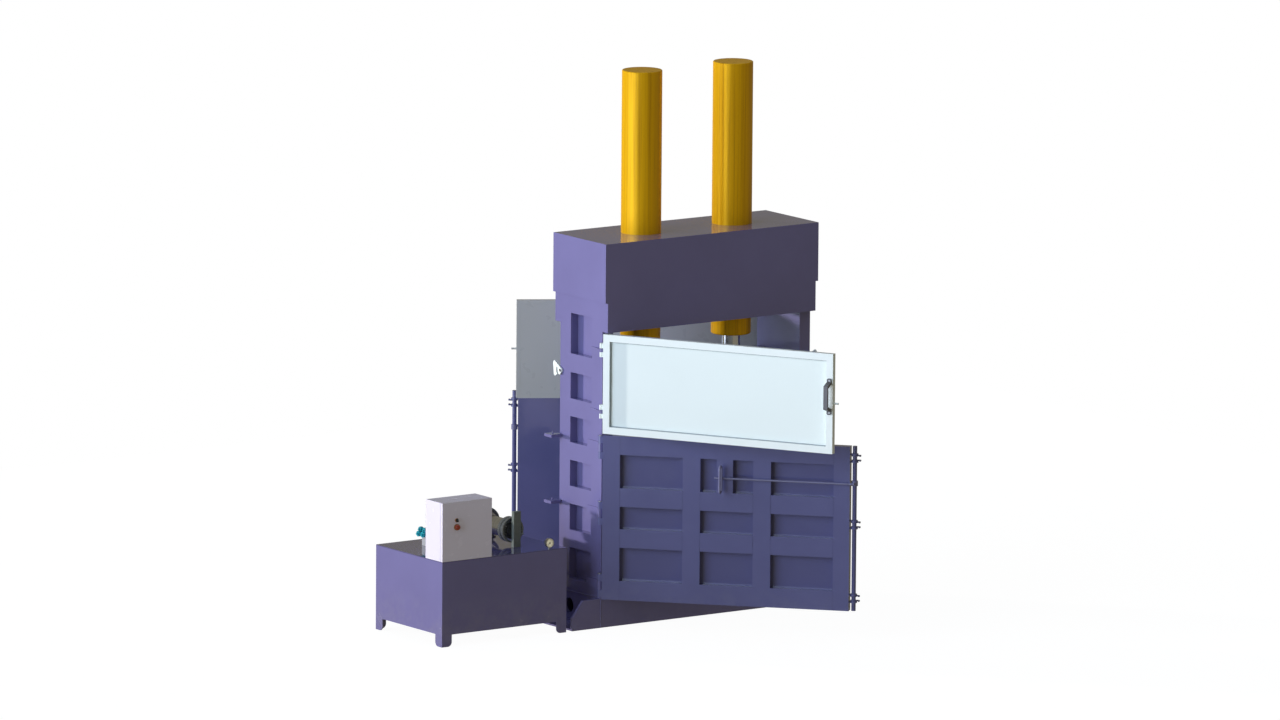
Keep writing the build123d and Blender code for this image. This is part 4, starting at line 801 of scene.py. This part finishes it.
screw = socket_screw("handle_screw", 0.0065, 0.005)
screw_x, screw_y = 0.816, -0.293
screw_heights = (1.622, 1.840)
for end in ends:
    place = door_place(end)
    pair = [
        copy_at(screw, f"{end}_screw_{i}", place @ Matrix.Translation((screw_x, screw_y, z)))
        for i, z in enumerate(screw_heights)
    ]
    screws = join_all(f"{end}_handle_screws", pair)
    carry(screws, bare_steel, f"{end}_upper_door")
bpy.data.objects.remove(screw)
print("handle screws placed on both upper doors")

# %% [markdown]
# The sheet of an upper door lies in a rebate behind the frame. Where the frame meets the sheet, a thin line
# of shadow runs all round, and a grey strip paints that shadow in. A curve with a round bevel could lie there
# too, but its corners would need trimming. The strip starts as a plane as large as the opening. Its face is
# inset, the middle is deleted, and the ring that is left is raised and rounded.

# %% Painted shadow strip
opening_left, opening_right = -0.812, 0.792
opening_low, opening_high = 1.390, 1.972
sheet_face_y = -0.271
shadow_strip_width = 0.005
shadow_strip_height = 0.003
shadow_strip_rounding = 0.0012

opening_middle = ((opening_left + opening_right) / 2, sheet_face_y, (opening_low + opening_high) / 2)
for end in ends:
    bpy.ops.object.select_all(action="DESELECT")
    bpy.ops.mesh.primitive_plane_add(size=1.0, location=opening_middle, rotation=turn_to["Y"])
    shadow_strip = bpy.context.active_object
    shadow_strip.name = f"{end}_painted_shadow_strip"
    shadow_strip.scale = (opening_right - opening_left, opening_high - opening_low, 1.0)
    settle(shadow_strip)
    bpy.ops.object.mode_set(mode="EDIT")
    pick_faces(shadow_strip, lambda face: True)
    bpy.ops.mesh.inset(thickness=shadow_strip_width)
    bpy.ops.mesh.delete(type="FACE")
    bpy.ops.mesh.select_all(action="SELECT")
    bpy.ops.mesh.extrude_region_move(TRANSFORM_OT_translate={"value": (0, -shadow_strip_height, 0)})
    bpy.ops.mesh.select_all(action="SELECT")
    bpy.ops.mesh.normals_make_consistent(inside=False)
    bpy.ops.object.mode_set(mode="OBJECT")
    soften(shadow_strip, shadow_strip_rounding)
    shadow_strip.data.transform(door_place(end))
    # The grey strip is painted shadow along the joint between sheet and frame.
    carry(shadow_strip, painted_shadow_grey, f"{end}_upper_door")
print("sealant bead laid round both sheets")

# %% [markdown]
# The pressure gauge has a pale card with a black scale. The scale could be printed as a picture, but its
# marks are few, and as thin plates they stay sharp however close the camera comes. They are turned round the
# centre over three quarters of a circle, and every fifth one is longer and wider.

# %% Gauge scale
dial_low, dial_high = (Vector(corner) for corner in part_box("gauge_dial"))
dial_middle = (dial_low + dial_high) / 2
dial_radius = (dial_high.x - dial_low.x) / 2
card_face = dial_low.y
mark_count = 31
first_turn, turn_step = -135, 9
mark_thickness = 0.0003
mark_height = 0.0001
scale_radius = dial_radius * 0.93

marks = []
for step in range(mark_count):
    turn = math.radians(first_turn + step * turn_step)
    long_mark = step % 5 == 0
    length = dial_radius * (0.20 if long_mark else 0.11)
    mark = block(0.0011 if long_mark else 0.0006, mark_thickness, length)
    reach = scale_radius - length / 2
    mark.data.transform(
        Matrix.Translation((dial_middle.x, card_face - mark_height, dial_middle.z))
        @ Matrix.Rotation(turn, 4, "Y") @ Matrix.Translation((0, 0, reach))
    )
    marks.append(mark)
carry(join_all("gauge_scale", marks), black_plastic)
print("gauge has", len(marks), "marks")

# %% [markdown]
# The needle stands near zero, because the pump is at rest. It is a long flat wedge, made from a cone with
# four sides, and a small hub covers its root.

# %% Gauge needle
needle_height = 0.0012
needle_turn = math.radians(-128)

bpy.ops.object.select_all(action="DESELECT")
bpy.ops.mesh.primitive_cone_add(vertices=4, radius1=0.0016, radius2=0.0003, depth=dial_radius * 1.05)
needle = bpy.context.active_object
needle.scale = (1.0, 0.35, 1.0)
settle(needle)
needle.data.transform(
    Matrix.Translation((dial_middle.x, card_face - needle_height, dial_middle.z))
    @ Matrix.Rotation(needle_turn, 4, "Y") @ Matrix.Translation((0, 0, dial_radius * 0.35))
)
hub = cylinder(24, 0.0042, 0.0016, (dial_middle.x, card_face - needle_height, dial_middle.z), "Y")
soften(hub, 0.0004)
carry(join_all("gauge_needle", [needle, hub]), black_plastic)
print("needle points at", round(math.degrees(needle_turn)), "degrees")

# %% [markdown]
# A flat glass closes the gauge. Real glass bends light strongly, but a thin flat pane hardly moves what lies
# behind it. A low index does the same here and keeps the scale from darkening.

# %% Gauge glass
glass_gap = 0.0023

gauge_glass = bpy.data.materials.new("gauge_glass")
gauge_glass.use_nodes = True
glass_shader = gauge_glass.node_tree.nodes["Principled BSDF"]
glass_shader.inputs["Base Color"].default_value = (1.0, 1.0, 1.0, 1.0)
glass_shader.inputs["Roughness"].default_value = 0.02
glass_shader.inputs["Transmission Weight"].default_value = 1.0
glass_shader.inputs["IOR"].default_value = 1.03
window = cylinder(48, dial_radius, 0.0008, (dial_middle.x, card_face - glass_gap, dial_middle.z), "Y")
window.name = "gauge_window"
soften(window, 0.0002, 1)
carry(window, gauge_glass)
print("glass is", round(dial_radius * 2000), "mm wide")

# %% [markdown]
# Each solenoid valve takes its current through a square plug on its coil. A plain cube would read as a lump,
# so its upper end is inset and drawn up, a screw goes through its middle, and three rings that grow smaller
# make the ribbed cable entry on its side.

# %% Valve plugs
valve_top = Vector(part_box("solenoid_valves")[1]).z
manifold_low, manifold_high = (Vector(corner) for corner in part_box("valve_manifold"))
valve_inset, plug_offset = 0.006, 0.030
coil_rise, coil_diameter = 0.002, 0.038
coil_x = manifold_low.x + valve_inset - plug_offset
coil_top = manifold_high.z + coil_rise + coil_diameter
valve_backs = (0.026, 0.078)
plug_lift = 0.0098
screw_lift = 0.0266
rib_lift = 0.0095
upright = Matrix.Rotation(-math.pi / 2, 4, "X")

for number, back in enumerate(valve_backs):
    valve_y = manifold_high.y - back
    plug = block(0.027, 0.027, 0.024)
    bpy.ops.object.mode_set(mode="EDIT")
    pick_faces(plug, lambda face: face.normal.z > 0.9)
    bpy.ops.mesh.inset(thickness=0.0035)
    bpy.ops.mesh.extrude_region_move(TRANSFORM_OT_translate={"value": (0, 0, 0.005)})
    bpy.ops.object.mode_set(mode="OBJECT")
    soften(plug, 0.0018)
    plug.data.transform(Matrix.Translation((coil_x, valve_y, coil_top + plug_lift)))
    entries = [plug]
    for ring in range(3):
        rib_x = coil_x - 0.0150 - 0.0032 * ring
        rib = cylinder(20, 0.0075 - 0.0006 * ring, 0.0030, (rib_x, valve_y, coil_top + rib_lift), "X")
        soften(rib, 0.0006)
        entries.append(rib)
    carry(join_all(f"valve_plug_{number}", entries), teal_paint)
    plug_screw = socket_screw(f"valve_plug_screw_{number}", 0.0035, 0.002)
    plug_screw.data.transform(Matrix.Translation((coil_x, valve_y, coil_top + screw_lift)) @ upright)
    carry(plug_screw, bare_steel)
print("coils end at z", round(coil_top, 3), "and the valves at", round(valve_top, 3))

# %% [markdown]
# The motor stands on a wide foot plate, held down by a hexagon screw with a washer at each corner. The
# hexagon could be cut from a disc, but a cylinder with six sides is one already. Its upper face is inset and
# drawn up a little, which turns its corners off as on a real head.


# %% Motor foot screws
def hexagon_screw(name, across, height):
    """A hexagon head on a washer, standing on the plane z = 0."""
    washer_height = 0.0016
    washer = cylinder(32, across * 0.95, washer_height, (0, 0, washer_height / 2), "Z")
    soften(washer, 0.0003, 1)
    head = cylinder(6, across / math.sqrt(3), height, (0, 0, washer_height + height / 2), "Z")
    bpy.ops.object.mode_set(mode="EDIT")
    pick_faces(head, lambda face: face.normal.z > 0.9)
    bpy.ops.mesh.inset(thickness=across * 0.06)
    bpy.ops.mesh.extrude_region_move(TRANSFORM_OT_translate={"value": (0, 0, height * 0.08)})
    bpy.ops.object.mode_set(mode="OBJECT")
    soften(head, across * 0.03)
    return join_all(name, [head, washer])


motor_low, motor_high = (Vector(corner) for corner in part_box("motor"))
motor_x = (motor_low.x + motor_high.x) / 2
lid_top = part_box("tank_lid")[1][2]
foot_plate = 0.008
foot_top = lid_top + foot_plate
motor_front_y, flange_thickness, half_body = 0.304, 0.016, 0.085
foot_middle_y = motor_front_y + flange_thickness + half_body
foot_hole_x, foot_hole_y = 0.083, 0.05

bolt = hexagon_screw("foot_bolt", 0.017, 0.009)
foot_holes = [
    (motor_x + sign_x * foot_hole_x, foot_middle_y + sign_y * foot_hole_y, foot_top)
    for sign_y in (-1, 1) for sign_x in (-1, 1)
]
foot_bolts = [
    copy_at(bolt, f"foot_bolt_{i}", Matrix.Translation(hole)) for i, hole in enumerate(foot_holes)
]
carry(join_all("motor_foot_bolts", foot_bolts), zinc)
bpy.data.objects.remove(bolt)
print("motor is held by", len(foot_bolts), "screws")

# %% [markdown]
# The terminal box on the motor has a lid with a screw in each corner, and a cable gland on its side. The
# gland is a six-sided nut with a round dome on it, whose end is rounded by a wide bevel.

# %% Terminal box hardware
box_low, box_high = (Vector(corner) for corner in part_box("motor_terminal_box"))
corner_inset = 0.013
nut_depth, dome_depth = 0.008, 0.012

lid_screw = socket_screw("box_screw", 0.0045, 0.003)
box_corners = [
    (x, y, box_high.z)
    for x in (box_low.x + corner_inset, box_high.x - corner_inset)
    for y in (box_low.y + corner_inset, box_high.y - corner_inset)
]
box_screws = [
    copy_at(lid_screw, f"box_screw_{i}", Matrix.Translation(corner) @ upright)
    for i, corner in enumerate(box_corners)
]
carry(join_all("terminal_box_screws", box_screws), bare_steel)
bpy.data.objects.remove(lid_screw)

gland_y, gland_z = (box_low.y + box_high.y) / 2, (box_low.z + box_high.z) / 2
gland_nut = cylinder(6, 0.013, nut_depth, (box_high.x + nut_depth / 2, gland_y, gland_z), "X")
soften(gland_nut, 0.0008)
dome_x = box_high.x + nut_depth + dome_depth / 2
gland_dome = cylinder(24, 0.010, dome_depth, (dome_x, gland_y, gland_z), "X")
soften(gland_dome, 0.0035, 3)
carry(join_all("terminal_box_gland", [gland_nut, gland_dome]), black_plastic)
print("terminal box has", len(box_screws), "lid screws")

# %% [markdown]
# The pump's ringed cover is drawn up by six cap screws in the groove round its face. They could be set one
# by one; a loop that turns by a sixth of a circle places them evenly.

# %% Pump cover screws
cover_low, cover_high = (Vector(corner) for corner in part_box("pump_cover"))
cover_x = (cover_low.x + cover_high.x) / 2
cover_z = (cover_low.z + cover_high.z) / 2
groove_y = cover_low.y + 0.022
screw_circle = 0.052
screw_count = 6

cap_screw = socket_screw("cover_screw", 0.0045, 0.006)
cover_screws = []
for i in range(screw_count):
    turn = math.radians(30 + 360 // screw_count * i)
    seat = (cover_x + screw_circle * math.cos(turn), groove_y, cover_z + screw_circle * math.sin(turn))
    cover_screws.append(copy_at(cap_screw, f"cover_screw_{i}", Matrix.Translation(seat)))
carry(join_all("pump_cover_screws", cover_screws), zinc)
bpy.data.objects.remove(cap_screw)
print("pump cover has", len(cover_screws), "screws")

# %% [markdown]
# The selector on the cabinet door carries a white pointer line on its grip, so that the operator can read
# its position. It could be a colour on the grip alone. As a thin bar let into the grip it also turns with it
# and keeps its own edge.

# %% Selector line
grip_low, grip_high = (Vector(corner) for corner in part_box("selector"))
grip_middle = (grip_low + grip_high) / 2
pointer_sink = 0.0003
pointer_lift = 0.0045

pointer = block(0.0018, 0.0010, 0.0075)
soften(pointer, 0.0003, 1)
pointer_place = (grip_middle.x, grip_low.y - pointer_sink, grip_middle.z + pointer_lift)
pointer.data.transform(Matrix.Translation(pointer_place))
pointer.name = "selector_pointer"
carry(pointer, white_enamel, "selector")
print("pointer set in the selector")

# %% [markdown]
# Heavy plates are joined by weld beads. A bead is a row of drops, each lapping over the one before it. A
# bevelled curve would be smooth where a weld is rippled. So one drop is a ball drawn out a little along the
# bead, and an array sets copies of it along the line between two points.


# %% Weld beads
bead_width = 0.006
bead_pitch = bead_width * 0.62


def weld_bead(name, start, stop, material, slot):
    """A rippled bead from start to stop, in metres."""
    start, stop = Vector(start), Vector(stop)
    run = stop - start
    count = max(2, int(run.length / bead_pitch))
    bpy.ops.object.select_all(action="DESELECT")
    bpy.ops.mesh.primitive_ico_sphere_add(subdivisions=2, radius=bead_width / 2)
    drop = bpy.context.active_object
    drop.scale = (0.9, 0.9, 1.25)
    settle(drop)
    drop.data.transform(run.to_track_quat("Z", "Y").to_matrix().to_4x4())
    drop.data.transform(Matrix.Translation(start))
    row = drop.modifiers.new("row", "ARRAY")
    row.use_relative_offset = False
    row.use_constant_offset = True
    row.constant_offset_displace = run / (count - 1)
    row.count = count
    alone(drop)
    bpy.ops.object.modifier_apply(modifier=row.name)
    drop.name = name
    carry(drop, material, angle=60)


base_top = Vector(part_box("side_liners")[0]).z
wall_x = abs(nodes["side_ladder_left"].bound_box[0][0])
plate_edge_y = 0.248
foot_half_run = 0.24
proud = 0.001
end_gap = 0.004

beads = 0
for side, sign in (("left", -1), ("right", 1)):
    x = sign * wall_x
    for end, sign_y in zip(ends, (-1, 1)):
        y = sign_y * (plate_edge_y + proud)
        bead_ends = (x, y, end_gap), (x, y, base_top - end_gap)
        weld_bead(f"outrigger_weld_{side}_{end}", *bead_ends, base_enamel, "dark")
        beads += 1
    bead_x = x + sign * proud
    bead_ends = (bead_x, -foot_half_run, base_top), (bead_x, foot_half_run, base_top)
    weld_bead(f"foot_weld_{side}", *bead_ends, violet_enamel, "body")
    beads += 1
print("weld beads laid:", beads)
